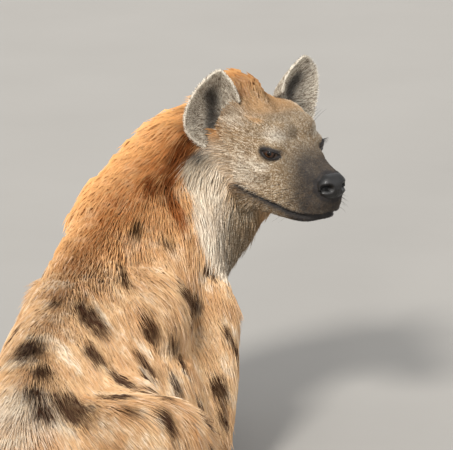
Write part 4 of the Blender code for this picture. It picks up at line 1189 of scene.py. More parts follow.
def coat_paint(name, streaks=0.0, bare=False):
    """The finish of hair, or of the skin under it. Streaks darken single tufts of a grizzled part."""
    paint = Paint(name, Roughness=0.7, Specular_IOR_Level=0.15)
    wide, middle, fine = paint.noise(9.0, 3.0), paint.noise(55.0, 3.0), paint.noise(420.0, 2.0)
    tuft = 0.5 if bare else paint.field("tone")
    speck = (middle - 0.5) * 0.5 + (tuft - 0.5) * 0.55
    patch = paint.noise(24.0, 3.0, 0.6)
    colour = paint.mix(COLOURS["tan"], COLOURS["ochre"], (wide * 1.2 + patch * 1.6 - 0.97 + speck * 0.9).clipped())
    colour = paint.mix(colour, COLOURS["cream"], (patch.between(0.50, 0.30) * (0.45 + speck)).clipped())
    pale_tip = 0.1 if bare else ((tuft * 1.5 - 0.85) * paint.field("along")).clipped()
    colour = paint.mix(colour, COLOURS["cream"], pale_tip)
    for mark, gain, wander in (("grey", 1.0, 0.45), ("cream", 1.15, 0.65), ("rufous", 1.1, 0.50)):
        share = (paint.field(mark) * gain + speck * wander - 0.06).clipped()
        colour = paint.mix(colour, COLOURS[mark], share * paint.field(mark).between(0.02, 0.30))
    for mark, wander in (("stripe", 0.50), ("spot", 0.60)):
        edge = (paint.field(mark) + speck * wander).between(0.15, 0.74)
        colour = paint.mix(colour, COLOURS[mark], (edge * (0.95 + 0.5 * speck)).clipped())
    fleck = paint.noise(430.0, 1.0, 0.5) + (tuft - 0.5) * 0.16
    speckled = paint.field("grey").between(0.10, 0.60) * (1 - paint.field("rufous").between(0.1, 0.7))
    colour = paint.mix(colour, COLOURS["fleck"], fleck.between(0.50, 0.36) * speckled * 0.58)
    colour = paint.mix(colour, COLOURS["cream"], fleck.between(0.52, 0.66) * speckled * 0.42)
    if streaks:
        colour = paint.mix(colour, COLOURS["fleck"], tuft.between(0.50, 0.18) * speckled * streaks)
        colour = paint.mix(colour, COLOURS["cream"], tuft.between(0.55, 0.85) * speckled * streaks * 0.7)
    colour = paint.mix(colour, COLOURS["dark"], (paint.field("dark") * 1.05 + speck * 0.55 * paint.field("dark").between(
        0.0, 0.3)).clipped())
    # Painted shade: each tuft is darker at its root than at its tip, and the bare skin is as dark as the roots. The
    # share from tuft to tuft is random tone.
    root_shade_and_tone = 0.80 if bare else 0.80 + 0.25 * paint.field("along").power(0.7) + (tuft - 0.5) * 0.26
    paint.into("Base Color", paint.darker(colour, root_shade_and_tone * (0.90 + 0.2 * fine)))
    if bare:
        paint.into("Normal", paint.bump(fine + middle * 0.6, 0.5, 0.0016))
    return paint.material


skin_paint = coat_paint("bare_coat", bare=True)
coat_paints = {name: coat_paint(name, streaks) for name, streaks in (
    ("body_coat", 0.0), ("head_coat", 0.32), ("ear_coat", 0.80), ("leg_coat", 0.0), ("tail_brush_hair", 0.0))}
print("coat colours:", ", ".join(COLOURS))

# %% [markdown]
# ## Fields and unwrap of the skin
#
# The fields are stored on the skin's points, where both the shader and the coat's tree can read them. The skin is
# also unwrapped by its own shape, because a coat in thousands of tufts needs one small place for each on that unwrap.

# %% Fields on the skin
def store(mesh, name, values):
    """Keeps numbers or vectors on a mesh's points."""
    kind = "FLOAT" if values.ndim == 1 else "FLOAT_VECTOR"
    layer = mesh.attributes.get(name) or mesh.attributes.new(name, kind, "POINT")
    layer.data.foreach_set("value" if values.ndim == 1 else "vector", values.astype(np.float32).ravel())


for mark, field in marks.items():
    store(skin.data, mark, field)
store(skin.data, "lie", lie)
store(skin.data, "hair_size", sizes)
bpy.context.scene.collection.objects.link(skin)
bpy.context.view_layer.objects.active = skin
skin.select_set(True)
bpy.ops.object.mode_set(mode="EDIT")
bpy.ops.mesh.select_all(action="SELECT")
bpy.ops.uv.smart_project(angle_limit=math.radians(66), island_margin=0.001)
bpy.ops.object.mode_set(mode="OBJECT")
skin.data.uv_layers[0].name = "OFBake"
print("skin unwrapped:", len(skin.data.uv_layers), "map")

# %% [markdown]
# ## Tufts
#
# Real fur is millions of hairs. A renderer's hair would draw them, but it isn't solid and is lost in an export. Here a
# few dozen hairs that cling together are one tapered tuft with three sides, sunk at its root. It rises, bends over
# and ends in a point, and four different tufts keep the eye from finding the repeat.

# %% Tuft shapes
def tuft_shape(name, rows, sideways, curl):
    """A three-sided tuft along +Y, one unit long, wide and high, whose last row is its point."""
    bm = bmesh.new()
    patch, along = {}, {}
    rings = []
    for number in range(rows):
        t = number / rows
        width = 0.5 * (1.0 - 0.55 * t**1.6) * (0.55 if number == 0 else 1.0)
        rise = -0.16 + 1.16 * math.sin(math.pi * 0.5 * min(1.0, t * 1.15)) ** 0.9
        thick = 0.20 * (1 - 0.6 * t)
        middle = sideways * t * t * 4.0
        ring = [bm.verts.new(p) for p in ((middle - width, t, rise), (middle + width, t, rise),
                                         (middle, t - 0.02, rise + thick))]
        for vert in ring:
            patch[vert] = (0.5 * (vert.co.x - middle + 0.5), t)
            along[vert] = t
        rings.append(ring)
    tip = bm.verts.new((sideways * 4.0 + curl, 1.0, 0.95 - 0.25 * abs(curl)))
    patch[tip], along[tip] = (0.25, 1.0), 1.0
    for first, second in zip(rings, rings[1:]):
        for i in range(3):
            j = (i + 1) % 3
            bm.faces.new((first[i], first[j], second[j], second[i]))
    for i in range(3):
        bm.faces.new((rings[-1][i], rings[-1][(i + 1) % 3], tip))
    bmesh.ops.triangulate(bm, faces=[face for face in bm.faces if len(face.verts) == 4])
    bmesh.ops.recalc_face_normals(bm, faces=bm.faces)
    index = {vert: i for i, vert in enumerate(bm.verts)}
    values = [(index[vert], patch[vert], along[vert]) for vert in bm.verts]
    mesh = bpy.data.meshes.new(name)
    bm.to_mesh(mesh)
    bm.free()
    spot_, grow = np.zeros((len(values), 3)), np.zeros(len(values))
    for i, place, share in values:
        spot_[i] = (place[0] - 0.5, place[1] - 0.5, 0)
        grow[i] = share
    store(mesh, "patch", spot_)
    store(mesh, "along", grow)
    return bpy.data.objects.new(name, mesh)


def tuft_set(name, rows, bend):
    """Four tufts of one make in a collection of their own."""
    group = bpy.data.collections.new(name)
    for number, (sideways, curl) in enumerate(((0.0, 0.1), (0.10, -0.2), (-0.12, 0.25), (0.05, 0.5))):
        group.objects.link(tuft_shape(f"{name}_{number}", rows, sideways * bend, curl * bend))
    return group


SHORT_TUFTS, LONG_TUFTS = tuft_set("short_tuft", 2, 0.6), tuft_set("long_tuft", 3, 1.0)

# %% [markdown]
# ## The tree that grows the coat
#
# Distribute Points on Faces scatters roots that keep their distance, Instance on Points sets a tuft on each, and Axes
# to Rotation turns it so that its back looks out of the skin and its length follows the lie. The same tree grows
# every part of the coat, with its own inputs. At the end the tufts become plain mesh and get their finish.

# %% Coat tree
def coat_tree():
    """A node group that covers a mesh with tufts."""
    tree = bpy.data.node_groups.new("coat", "GeometryNodeTree")
    face = tree.interface
    face.new_socket("Geometry", in_out="INPUT", socket_type="NodeSocketGeometry")
    face.new_socket("Geometry", in_out="OUTPUT", socket_type="NodeSocketGeometry")
    for name, kind in (("Tufts", "Collection"), ("Finish", "Material"), ("Density", "Float"), ("Least distance", "Float"),
                       ("Seed", "Int"), ("Length", "Float"), ("Width", "Float"), ("Stand", "Float"), ("Wander", "Float")):
        face.new_socket(name, in_out="INPUT", socket_type=f"NodeSocket{kind}")

    def add(kind, inputs=None, **settings):
        made = tree.nodes.new(kind)
        for name, value in settings.items():
            setattr(made, name, value)
        for key, value in (inputs or {}).items():
            if isinstance(value, bpy.types.NodeSocket):
                tree.links.new(value, made.inputs[key])
            else:
                made.inputs[key].default_value = value
        return made

    def read(name, kind):
        node = add("GeometryNodeInputNamedAttribute", {"Name": name}, data_type=kind)
        return node.outputs["Attribute"]

    def maths(operation, first, second):
        return add("ShaderNodeMath", {0: first, 1: second}, operation=operation).outputs[0]

    def vectors(operation, first, second):
        return add("ShaderNodeVectorMath", {0: first, 1: second}, operation=operation).outputs[0]

    def chance(low, high, key, kind="FLOAT"):
        inputs = {"Seed": maths("ADD", given.outputs["Seed"], key)}
        node = add("FunctionNodeRandomValue", inputs, data_type=kind)
        first, second, out = {"FLOAT": (2, 3, 1), "FLOAT_VECTOR": (0, 1, 0), "INT": (4, 5, 2)}[kind]
        node.inputs[first].default_value, node.inputs[second].default_value = low, high
        return node.outputs[out]

    given = add("NodeGroupInput")
    roots = add("GeometryNodeDistributePointsOnFaces",
                {"Mesh": given.outputs["Geometry"], "Distance Min": given.outputs["Least distance"],
                 "Density Max": given.outputs["Density"], "Density Factor": read("cover", "FLOAT"),
                 "Seed": given.outputs["Seed"]}, distribute_method="POISSON")
    wander = add("ShaderNodeVectorMath", {0: chance((-1, -1, -1), (1, 1, 1), 1, "FLOAT_VECTOR"),
                                          "Scale": given.outputs["Wander"]}, operation="SCALE").outputs[0]
    way = vectors("ADD", read("lie", "FLOAT_VECTOR"), wander)
    turn = add("FunctionNodeAxesToRotation", {"Primary Axis": roots.outputs["Normal"], "Secondary Axis": way},
               primary_axis="Z", secondary_axis="Y").outputs[0]
    parts = add("ShaderNodeSeparateXYZ", {0: read("hair_size", "FLOAT_VECTOR")}).outputs
    length = maths("MULTIPLY", maths("MULTIPLY", parts[0], given.outputs["Length"]), chance(0.72, 1.22, 2))
    width = maths("MULTIPLY", maths("MULTIPLY", parts[1], given.outputs["Width"]), chance(0.75, 1.25, 3))
    stand = maths("MULTIPLY", maths("MULTIPLY", parts[2], given.outputs["Stand"]), chance(0.55, 1.20, 4))
    size = add("ShaderNodeCombineXYZ", {0: width, 1: length, 2: stand}).outputs[0]
    pick = add("GeometryNodeCollectionInfo", {"Collection": given.outputs["Tufts"], "Separate Children": True,
                                              "Reset Children": True})
    grown = add("GeometryNodeInstanceOnPoints",
                {"Points": roots.outputs["Points"], "Instance": pick.outputs[0], "Pick Instance": True,
                 "Instance Index": chance(0, 3, 5, "INT"), "Rotation": turn, "Scale": size})
    lock_noise = add("ShaderNodeTexNoise", {"Vector": add("GeometryNodeInputPosition").outputs[0], "Scale": 230.0,
                                            "Detail": 1.0})
    of_lock = maths("MULTIPLY", maths("SUBTRACT", lock_noise.outputs[0], 0.5), 1.3)
    tone_value = maths("ADD", of_lock, chance(0.22, 0.78, 6))
    toned = add("GeometryNodeStoreNamedAttribute",
                {"Geometry": grown.outputs[0], "Name": "tone", "Value": tone_value},
                data_type="FLOAT", domain="INSTANCE")
    plain = add("GeometryNodeRealizeInstances", {"Geometry": toned.outputs[0]})
    patch = add("ShaderNodeVectorMath", {0: read("patch", "FLOAT_VECTOR"), "Scale": 0.003}, operation="SCALE")
    place = vectors("ADD", read("root_place", "FLOAT_VECTOR"), patch.outputs[0])
    mapped = add("GeometryNodeStoreNamedAttribute",
                 {"Geometry": plain.outputs[0], "Name": "OFBake", "Value": place}, data_type="FLOAT2", domain="CORNER")
    finished = add("GeometryNodeSetMaterial", {"Geometry": mapped.outputs[0], "Material": given.outputs["Finish"]})
    add("NodeGroupOutput", {0: finished.outputs[0]})
    return tree


COAT = coat_tree()
print("coat tree:", len(COAT.nodes), "nodes")

# %% [markdown]
# The unwrap lives on face corners, and a root needs one place of it, so each root carries the unwrap as a vector. The
# tree's inputs are set by their identifiers, before Blender looks at the modifier for the first time.

# %% Growing one part of the coat
def root_places(mesh):
    """Copies the unwrap into a corner vector that the tufts inherit."""
    flat = np.empty(len(mesh.loops) * 2, dtype=np.float32)
    mesh.uv_layers["OFBake"].data.foreach_get("uv", flat)
    wide = np.zeros((len(mesh.loops), 3), dtype=np.float32)
    wide[:, :2] = flat.reshape(-1, 2)
    layer = mesh.attributes.new("root_place", "FLOAT_VECTOR", "CORNER")
    layer.data.foreach_set("vector", wide.ravel())


FLOOR_TOP = 0.0004


def coat(name, cover, paint, tufts, density, least, seed, length=1.0, width=1.0, stand=1.0, wander=0.16):
    """Covers the skin with tufts where cover is over 0 and returns them as one mesh."""
    mesh = skin.data.copy()
    root_places(mesh)
    mesh.uv_layers.remove(mesh.uv_layers["OFBake"])
    store(mesh, "cover", cover)
    obj = bpy.data.objects.new(name, mesh)
    bpy.context.scene.collection.objects.link(obj)
    grow = obj.modifiers.new("coat", "NODES")
    grow.node_group = COAT
    names = {item.name: item.identifier for item in COAT.interface.items_tree if item.in_out == "INPUT"}
    for key, value in (("Tufts", tufts), ("Finish", coat_paints[paint]), ("Density", density), ("Least distance", least),
                       ("Seed", seed), ("Length", length), ("Width", width), ("Stand", stand), ("Wander", wander)):
        grow[names[key]] = value
    graph = bpy.context.evaluated_depsgraph_get()
    grown = bpy.data.meshes.new_from_object(obj.evaluated_get(graph))
    obj.modifiers.clear()
    obj.data = grown
    bpy.data.meshes.remove(mesh)
    for unused in ("cover", "lie", "hair_size", "root_place", "patch"):
        layer = grown.attributes.get(unused)
        if layer is not None:
            grown.attributes.remove(layer)
    places = points_of(grown)
    low = places[:, 2] < FLOOR_TOP + 0.003
    places[low, 2] = FLOOR_TOP + 0.003 * np.exp((places[low, 2] - FLOOR_TOP - 0.003) / 0.006)
    grown.vertices.foreach_set("co", places.astype(np.float32).ravel())
    grown.update()
    grown.name = name
    print(name + ":", len(grown.polygons), "triangles")
    return obj


head_cover = ramp(belongs["head"], 0.3, 0.6) * (1 - is_ear)
ear_cover = is_ear
leg_cover = ramp(belongs["lower_leg"], 0.3, 0.6) * (1 - head_cover)
mane_cover = ramp(belongs["mane"], 0.35, 0.6) * (1 - head_cover) * (1 - is_ear) * ramp(normals[:, 2], -0.2, 0.3)
brush_cover = ramp(belongs["brush"], 0.4, 0.7)
body_cover = np.clip(1 - head_cover - ear_cover - leg_cover - brush_cover, 0, 1) * (1 - 0.4 * mane_cover)
nose_bare = np.exp(-np.sum(((mirrored - np.array(NOSE_CENTRE)) / np.array((0.0185, 0.027, 0.0205))) ** 2, axis=1) * 0.9)
lip_bare = np.exp(-(lip_distance / 0.0030) ** 4) * lips
head_cover *= 1 - ramp(np.max([round_eye(0.0168, 0.0092), nose_bare, lip_bare], axis=0), 0.36, 0.50)
under = ramp(-normals[:, 2], 0.90, 0.98) * ramp(-points[:, 2], -0.02, -0.004)
body_cover *= 1 - under
right_side = points[:, 0] > BODY_MIDDLE

coats = []
for word, start, end in (("rump", -1.0, 0.10), ("back", 0.10, 0.34), ("front", 0.34, 0.57), ("neck", 0.57, 2.0)):
    part = (points[:, 1] >= start) & (points[:, 1] < end)
    for side_word, side_part in (("right", right_side), ("left", ~right_side)):
        coats.append(coat(f"coat_{word}_{side_word}", body_cover * part * side_part, "body_coat", SHORT_TUFTS, 240000,
                          0.00192, 3 + len(coats)))
coats.append(coat("coat_mane", mane_cover, "body_coat", LONG_TUFTS, 130000, 0.0025, 15, wander=0.13))
for word, part in (("right", local[:, 1] > 0), ("left", local[:, 1] <= 0)):
    coats.append(coat(f"coat_head_{word}", head_cover * part, "head_coat", SHORT_TUFTS, 600000, 0.00116,
                      16 + len(coats), wander=0.16))
coats.append(coat("coat_legs", leg_cover, "leg_coat", SHORT_TUFTS, 160000, 0.0021, 27))
coats.append(coat("coat_ears", ear_cover, "ear_coat", SHORT_TUFTS, 560000, 0.00115, 28))
coats.append(coat("coat_brush", brush_cover, "tail_brush_hair", LONG_TUFTS, 420000, 0.0013, 29, wander=0.05))
print("coat in all:", sum(len(piece.data.polygons) for piece in coats), "triangles")

# %% [markdown]
# ## Eyes
#
# The eye of a hyena is dark brown with a round pupil, and between its black lids it shows hardly any white. The ball
# carries two fields, the angle from where it looks and the angle round that line, from which the finish draws the
# pupil, the iris with its rays and the dark ring. A low dome over the iris is the cornea and catches the light.

# %% Eyeballs
IRIS, PUPIL = 0.56, 0.25


def eyeball(name, side):
    """A ball with a cornea, which knows where it looks."""
    obj = drawn_sphere(name, Matrix.Identity(4), [EYE_RADIUS] * 3, 96, 64)
    places = points_of(obj.data)
    looks = unit(places)
    angle = np.arccos(np.clip(looks[:, 1], -1, 1))
    places *= (1 + 0.045 * ramp(-angle, -IRIS * 1.05, -0.1))[:, None]
    obj.data.vertices.foreach_set("co", places.astype(np.float32).ravel())
    store(obj.data, "gaze", angle)
    rays = np.array([noise.noise(Vector((math.cos(a) * 7, math.sin(a) * 7, g * 1.5))) for a, g in
                     zip(np.arctan2(looks[:, 2], looks[:, 0]), angle)])
    store(obj.data, "rays", rays)
    obj.data.transform(eye_matrix(side))
    obj.data.polygons.foreach_set("use_smooth", [True] * len(obj.data.polygons))
    return obj


eye_paint = Paint("eye", Roughness=0.10, Coat_Weight=0.35, Coat_Roughness=0.03, Specular_IOR_Level=0.3)
gaze, rays = eye_paint.field("gaze"), eye_paint.field("rays")
iris = eye_paint.mix(tone("3b2212"), tone("140b07"), (gaze.between(PUPIL, IRIS) * 0.9 + rays * 0.7).clipped())
iris = eye_paint.mix(tone("030303"), iris, gaze.between(PUPIL - 0.02, PUPIL + 0.04))
white = eye_paint.mix(tone("0d0907"), tone("6b5a50"), gaze.between(IRIS + 0.05, IRIS + 0.45))
eye_paint.into("Base Color", eye_paint.mix(iris, white, gaze.between(IRIS - 0.02, IRIS + 0.06)))
eyes = {side: eyeball(f"eyeball_{word}", side) for word, side in (("right", 1), ("left", -1))}
print("eyes:", len(eyes[1].data.polygons), "faces each")

# %% [markdown]
# ## Lids
#
# The edge of each lid is a wet black roll that hugs the ball. It follows the almond round the ball, thicker above,
# and runs out at the front corner into the dark line that leads tears to the nose.

# %% Lid rolls
def rolled(name, path, radii, sides=12):
    """A round roll along a path, closed where the path's ends meet."""
    count = len(path)
    middle = sum(path, Vector()) / count
    bm = bmesh.new()
    rings = []
    for i, place in enumerate(path):
        ahead = (path[(i + 1) % count] - path[i - 1]).normalized()
        outward = (place - middle).normalized()
        over = ahead.cross(outward).normalized()
        outward = over.cross(ahead)
        rings.append([bm.verts.new(place + (outward * math.cos(a) + over * math.sin(a)) * radii[i])
                      for a in (math.tau * k / sides for k in range(sides))])
    for first, second in zip(rings, rings[1:] + rings[:1]):
        for i in range(sides):
            j = (i + 1) % sides
            bm.faces.new((first[i], first[j], second[j], second[i]))
    return new_piece(name, bm)


def lid_roll(name, side):
    """The roll of both lids of one eye."""
    path, radii = [], []
    for k in range(96):
        angle = math.tau * k / 96
        across, up = almond(angle, side, -0.0002)
        deep = math.sqrt(max((EYE_RADIUS + 0.0007) ** 2 - across**2 - up**2, (0.30 * EYE_RADIUS) ** 2))
        path.append(eye_matrix(side) @ Vector((across, deep, up)))
        radii.append(0.0008 + 0.0007 * max(math.sin(angle), 0.0) + 0.0004 * abs(math.cos(angle)) ** 6)
    obj = rolled(name, path, radii)
    obj.data.polygons.foreach_set("use_smooth", [True] * len(obj.data.polygons))
    return obj


lid_paint = Paint("lid_skin", Roughness=0.50, Specular_IOR_Level=0.35, Coat_Weight=0.08, Coat_Roughness=0.20)
lid_noise = lid_paint.noise(900.0, 3.0)
lid_paint.into("Base Color", lid_paint.mix(tone("0c0a09"), tone("221b18"), lid_noise))
lid_paint.into("Normal", lid_paint.bump(lid_noise, 0.5, 0.0004))
lids = {side: lid_roll(f"lid_{word}", side) for word, side in (("right", 1), ("left", -1))}
print("lids:", [len(lid.data.polygons) for lid in lids.values()])

# %% [markdown]
# ## Nose
#
# The pad is black, damp and pebbled. Its nostrils open forward and run out sideways in a slit, and a groove divides it
# below. A fine sphere takes these shapes by sinking its points, which keeps one closed skin without a cut.

# %% Nose pad
NOSE_PITS = [
    ([(0.0140, 0.0140, 0.0005), (0.0115, 0.0175, 0.0000), (0.0085, 0.0203, -0.0005)], 0.0048, 0.0110),
    ([(0.0085, 0.0203, -0.0010), (0.0050, 0.0235, -0.0050), (-0.0010, 0.0250, -0.0085)], 0.0020, 0.0055),
    ([(0.0175, 0.0, -0.0030), (0.0160, 0.0, -0.0110), (0.0080, 0.0, -0.0185)], 0.0012, 0.0022),
]


def nose_pad():
    """The pad with nostrils, side slits and middle groove."""
    obj = drawn_sphere("nose_pad", Matrix.Identity(4), (1, 1, 1), 176, 120)
    ball = points_of(obj.data)
    square = np.abs(ball) ** 0.86 * np.sign(ball)
    places = square / np.max([np.linalg.norm(square, axis=1) ** 0.35], axis=0)[:, None]
    places *= np.array(NOSE_HALF)
    places[:, 2] += 0.0016 * np.exp(-(((np.abs(places[:, 1]) - 0.0135) / 0.006) ** 2)) * (places[:, 2] > 0)
    directions = unit(places / np.array(NOSE_HALF) ** 2)
    folded = places.copy()
    folded[:, 1] = np.abs(folded[:, 1])
    sink = np.zeros(len(places))
    for line, half, depth in NOSE_PITS:
        away = line_distance(folded, line) / half
        sink = np.maximum(sink, depth * np.exp(-away**2))
        sink -= 0.0006 * np.exp(-((away - 2.0) / 0.8) ** 2)
    inward = directions * 0.45 + np.array((1.0, 0.0, 0.0)) * 0.55 * (directions[:, :1] > 0)
    places -= inward * sink[:, None] * (places[:, :1] > -0.004)
    obj.data.vertices.foreach_set("co", places.astype(np.float32).ravel())
    store(obj.data, "pit", ramp(sink, 0.001, 0.006))
    obj.data.transform(head_matrix() @ Matrix.Translation(NOSE_CENTRE))
    obj.data.polygons.foreach_set("use_smooth", [True] * len(obj.data.polygons))
    return obj


nose_paint = Paint("nose_leather", Roughness=0.42, Specular_IOR_Level=0.32, Coat_Weight=0.12, Coat_Roughness=0.20)
pebbles = nose_paint.node("ShaderNodeTexVoronoi", {"feature": "SMOOTH_F1"}, {"Vector": nose_paint.place,
                                                                           "Scale": 900.0, "Smoothness": 0.4})
damp = nose_paint.noise(130.0, 3.0)
nose_colour = nose_paint.mix(tone("0c0b0a"), tone("221f1d"), (damp * 1.4 - 0.3 - pebbles * 0.25).clipped())
# The nostrils, side slits and middle groove are painted darker the deeper they sink, as painted shade in the pits.
nose_paint.into("Base Color", nose_paint.darker(nose_colour, 1 - 0.85 * nose_paint.field("pit")))
nose_paint.into("Roughness", 0.34 + 0.26 * damp)
nose_paint.into("Normal", nose_paint.bump(1 - pebbles, 0.55, 0.0006))
nose = nose_pad()
print("nose:", len(nose.data.polygons), "faces")

# %% [markdown]
# ## Claws
#
# Sixteen blunt claws, worn by the ground. Each is a short curved cone of dark horn, round above and narrow below.

# %% Claws
def claw(name, side, across):
    """One claw in its paw's place."""
    heel, heading, length, half_width = PAWS[name]
    reach = length * (0.80 if abs(across) > 0.5 else 0.90)
    x = across * half_width
    rows = [(x, reach - 0.004, 0.0150, 0.0036, 0.0050), (x * 1.02, reach + 0.005, 0.0140, 0.0034, 0.0044),
            (x * 1.04, reach + 0.013, 0.0105, 0.0026, 0.0032), (x * 1.05, reach + 0.0185, 0.0060, 0.0013, 0.0017)]
    obj = tube("claw", rows, 0.0, 16, 6, 0.5)
    obj.data.transform(paw_matrix(name, side))
    return obj


def gathered(name, pieces):
    """Several closed shapes as one object."""
    bm = bmesh.new()
    for piece in pieces:
        bm.from_mesh(piece.data)
        discard(piece)
    obj = new_piece(name, bm)
    obj.data.polygons.foreach_set("use_smooth", [True] * len(obj.data.polygons))
    return obj


claws = gathered("claws", [claw(name, side, across) for name in PAWS for side in (1, -1) for across in TOES])
claw_paint = Paint("claw_horn", Roughness=0.42, Specular_IOR_Level=0.45)
streaks = claw_paint.noise(260.0, 4.0, 0.6)
claw_paint.into("Base Color", claw_paint.mix(tone("1d1916"), tone("5a4c3e"), (streaks * 1.5 - 0.45).clipped()))
claw_paint.into("Normal", claw_paint.bump(streaks, 0.35, 0.0005))
print("claws:", len(claws.data.polygons), "faces")

# %% [markdown]
# ## Whiskers and lashes
#
# Whiskers stand in rows on the upper lip, with a few over the eye, and short stiff lashes edge the upper lid. Each is
# one line of points with its own thickness. A small tree turns all lines to tapered round hairs at once.

# %% Tree for single hairs
def strand_tree():
    """A node group that gives lines a round body."""
    tree = bpy.data.node_groups.new("strands", "GeometryNodeTree")
    face = tree.interface
    face.new_socket("Geometry", in_out="INPUT", socket_type="NodeSocketGeometry")
    face.new_socket("Geometry", in_out="OUTPUT", socket_type="NodeSocketGeometry")
    face.new_socket("Finish", in_out="INPUT", socket_type="NodeSocketMaterial")
    face.new_socket("Sides", in_out="INPUT", socket_type="NodeSocketInt")
    nodes, link = tree.nodes, tree.links.new
    given, out = nodes.new("NodeGroupInput"), nodes.new("NodeGroupOutput")
    curve, thick = nodes.new("GeometryNodeMeshToCurve"), nodes.new("GeometryNodeSetCurveRadius")
    read, profile = nodes.new("GeometryNodeInputNamedAttribute"), nodes.new("GeometryNodeCurvePrimitiveCircle")
    body, finish = nodes.new("GeometryNodeCurveToMesh"), nodes.new("GeometryNodeSetMaterial")
    plain = nodes.new("GeometryNodeRealizeInstances")
    read.data_type = "FLOAT"
    read.inputs["Name"].default_value = "thickness"
    profile.inputs["Radius"].default_value = 1.0
    body.inputs["Fill Caps"].default_value = True
    link(given.outputs["Geometry"], curve.inputs["Mesh"])
    link(curve.outputs[0], thick.inputs["Curve"])
    link(read.outputs["Attribute"], thick.inputs["Radius"])
    link(thick.outputs[0], body.inputs["Curve"])
    link(given.outputs["Sides"], profile.inputs["Resolution"])
    link(profile.outputs[0], body.inputs["Profile Curve"])
    if "Scale" in body.inputs:
        link(read.outputs["Attribute"], body.inputs["Scale"])
    link(body.outputs[0], plain.inputs[0])
    link(plain.outputs[0], finish.inputs["Geometry"])
    link(given.outputs["Finish"], finish.inputs["Material"])
    link(finish.outputs[0], out.inputs[0])
    return tree


STRANDS = strand_tree()


def strands(name, lines, paint, sides=5):
    """Hairs along lines of (place, thickness)."""
    mesh = bpy.data.meshes.new(name)
    flat, edges = [], []
    for line in lines:
        edges += [(len(flat) + i, len(flat) + i + 1) for i in range(len(line) - 1)]
        flat += line
    mesh.from_pydata([place for place, thick in flat], edges, [])
    store(mesh, "thickness", np.array([thick for place, thick in flat]))
    obj = bpy.data.objects.new(name, mesh)
    WORKSHOP.objects.link(obj)
    grow = obj.modifiers.new("strands", "NODES")
    grow.node_group = STRANDS
    names = {item.name: item.identifier for item in STRANDS.interface.items_tree if item.in_out == "INPUT"}
    grow[names["Finish"]], grow[names["Sides"]] = paint, sides
    bake_modifiers(obj)
    obj.data.polygons.foreach_set("use_smooth", [True] * len(obj.data.polygons))
    return obj


def bent_hair(root, way, fall, length, thick, steps=7):
    """A line that leaves its root one way and bends over by fall."""
    line, place, ahead = [], Vector(root), Vector(way).normalized()
    for i in range(steps + 1):
        t = i / steps
        line.append((tuple(place), thick * (1 - 0.85 * t)))
        ahead = (ahead + Vector(fall) / steps).normalized()
        place = place + ahead * (length / steps)
    return line


# %% Whiskers, brow hairs and lashes
skin_tree = tree_of(skin.data)
whisker_lines = []
draw = random.Random(21)
for side in (1, -1):
    for row in range(4):
        for number in range(6):
            f, u = 0.078 - 0.011 * number + 0.003 * row, -0.047 - 0.0085 * row + 0.001 * number
            aim = head_point(f, side * 0.06, u)
            root, normal = skin_tree.find_nearest(aim)[:2]
            way = normal * 0.8 + (head_point(-0.6, side * 0.5, -0.25 + 0.1 * (2 - row)) - head_point(0, 0, 0))
            length = draw.uniform(0.018, 0.030) + 0.005 * number
            whisker_lines.append(bent_hair(root - normal * 0.001, way, (0, 0, -0.5), length, 0.00032))
    for number in range(5):
        aim = head_point(0.004 - 0.010 * number, side * (0.036 + 0.004 * number), 0.040)
        root, normal = skin_tree.find_nearest(aim)[:2]
        way = normal * 0.9 + (head_point(-0.3, side * 0.3, 0.4) - head_point(0, 0, 0))
        whisker_lines.append(bent_hair(root - normal * 0.001, way, (0, 0, -0.4), draw.uniform(0.020, 0.032), 0.00028))
whisker_paint = Paint("whisker", Roughness=0.45, Specular_IOR_Level=0.4)
whisker_paint.into("Base Color", whisker_paint.mix(tone("0f0d0c"), tone("2b2622"), whisker_paint.noise(90.0)))
whiskers = strands("whiskers", whisker_lines, whisker_paint.material)

lash_lines = []
for side in (1, -1):
    place = eye_matrix(side)
    for number in range(26):
        angle = math.pi * (0.08 + 0.84 * number / 25)
        across, up = almond(angle, side, 0.0008)
        deep = math.sqrt(max((EYE_RADIUS + 0.0022) ** 2 - across**2 - up**2, 1e-8))
        root = place @ Vector((across, deep, up))
        way = place.to_3x3() @ Vector((0.5 * math.cos(angle), 1.0, 0.15 + 0.25 * math.sin(angle)))
        lash_lines.append(bent_hair(root, way, (0, 0, -0.15), draw.uniform(0.0055, 0.0085), 0.00022, 4))
lashes = strands("lashes", lash_lines, whisker_paint.material, 4)
print("whiskers:", len(whisker_lines), "lashes:", len(lash_lines))

# %% [markdown]
# ## Finish and place
#
# Each piece gets its finish, moves by the one shift that all share, and then stands for the solids that it dresses.
# The animal is a still model, so everything rides on the one body of the frame.

# %% Pieces take their finish and place
for obj, paint in ((skin, skin_paint), (nose, nose_paint.material), (claws, claw_paint.material),
                   (eyes[1], eye_paint.material), (eyes[-1], eye_paint.material),
                   (lids[1], lid_paint.material), (lids[-1], lid_paint.material)):
    obj.data.materials.clear()
    obj.data.materials.append(paint)
    if obj.data.attributes.get("root_place"):
        obj.data.attributes.remove(obj.data.attributes["root_place"])
skin.name = "skin"
skin.data.polygons.foreach_set("use_smooth", [True] * len(skin.data.polygons))
pieces = [skin, nose, claws, *eyes.values(), *lids.values(), whiskers, lashes, *coats]
WORKSHOP.objects.unlink(skin)
for obj in pieces:
    if obj.name not in bpy.context.scene.collection.objects:
        bpy.context.scene.collection.objects.link(obj)
        WORKSHOP.objects.unlink(obj)
    obj.data.transform(Matrix.Translation(SHIFT))
    obj.data.update()
bpy.data.collections.remove(WORKSHOP)

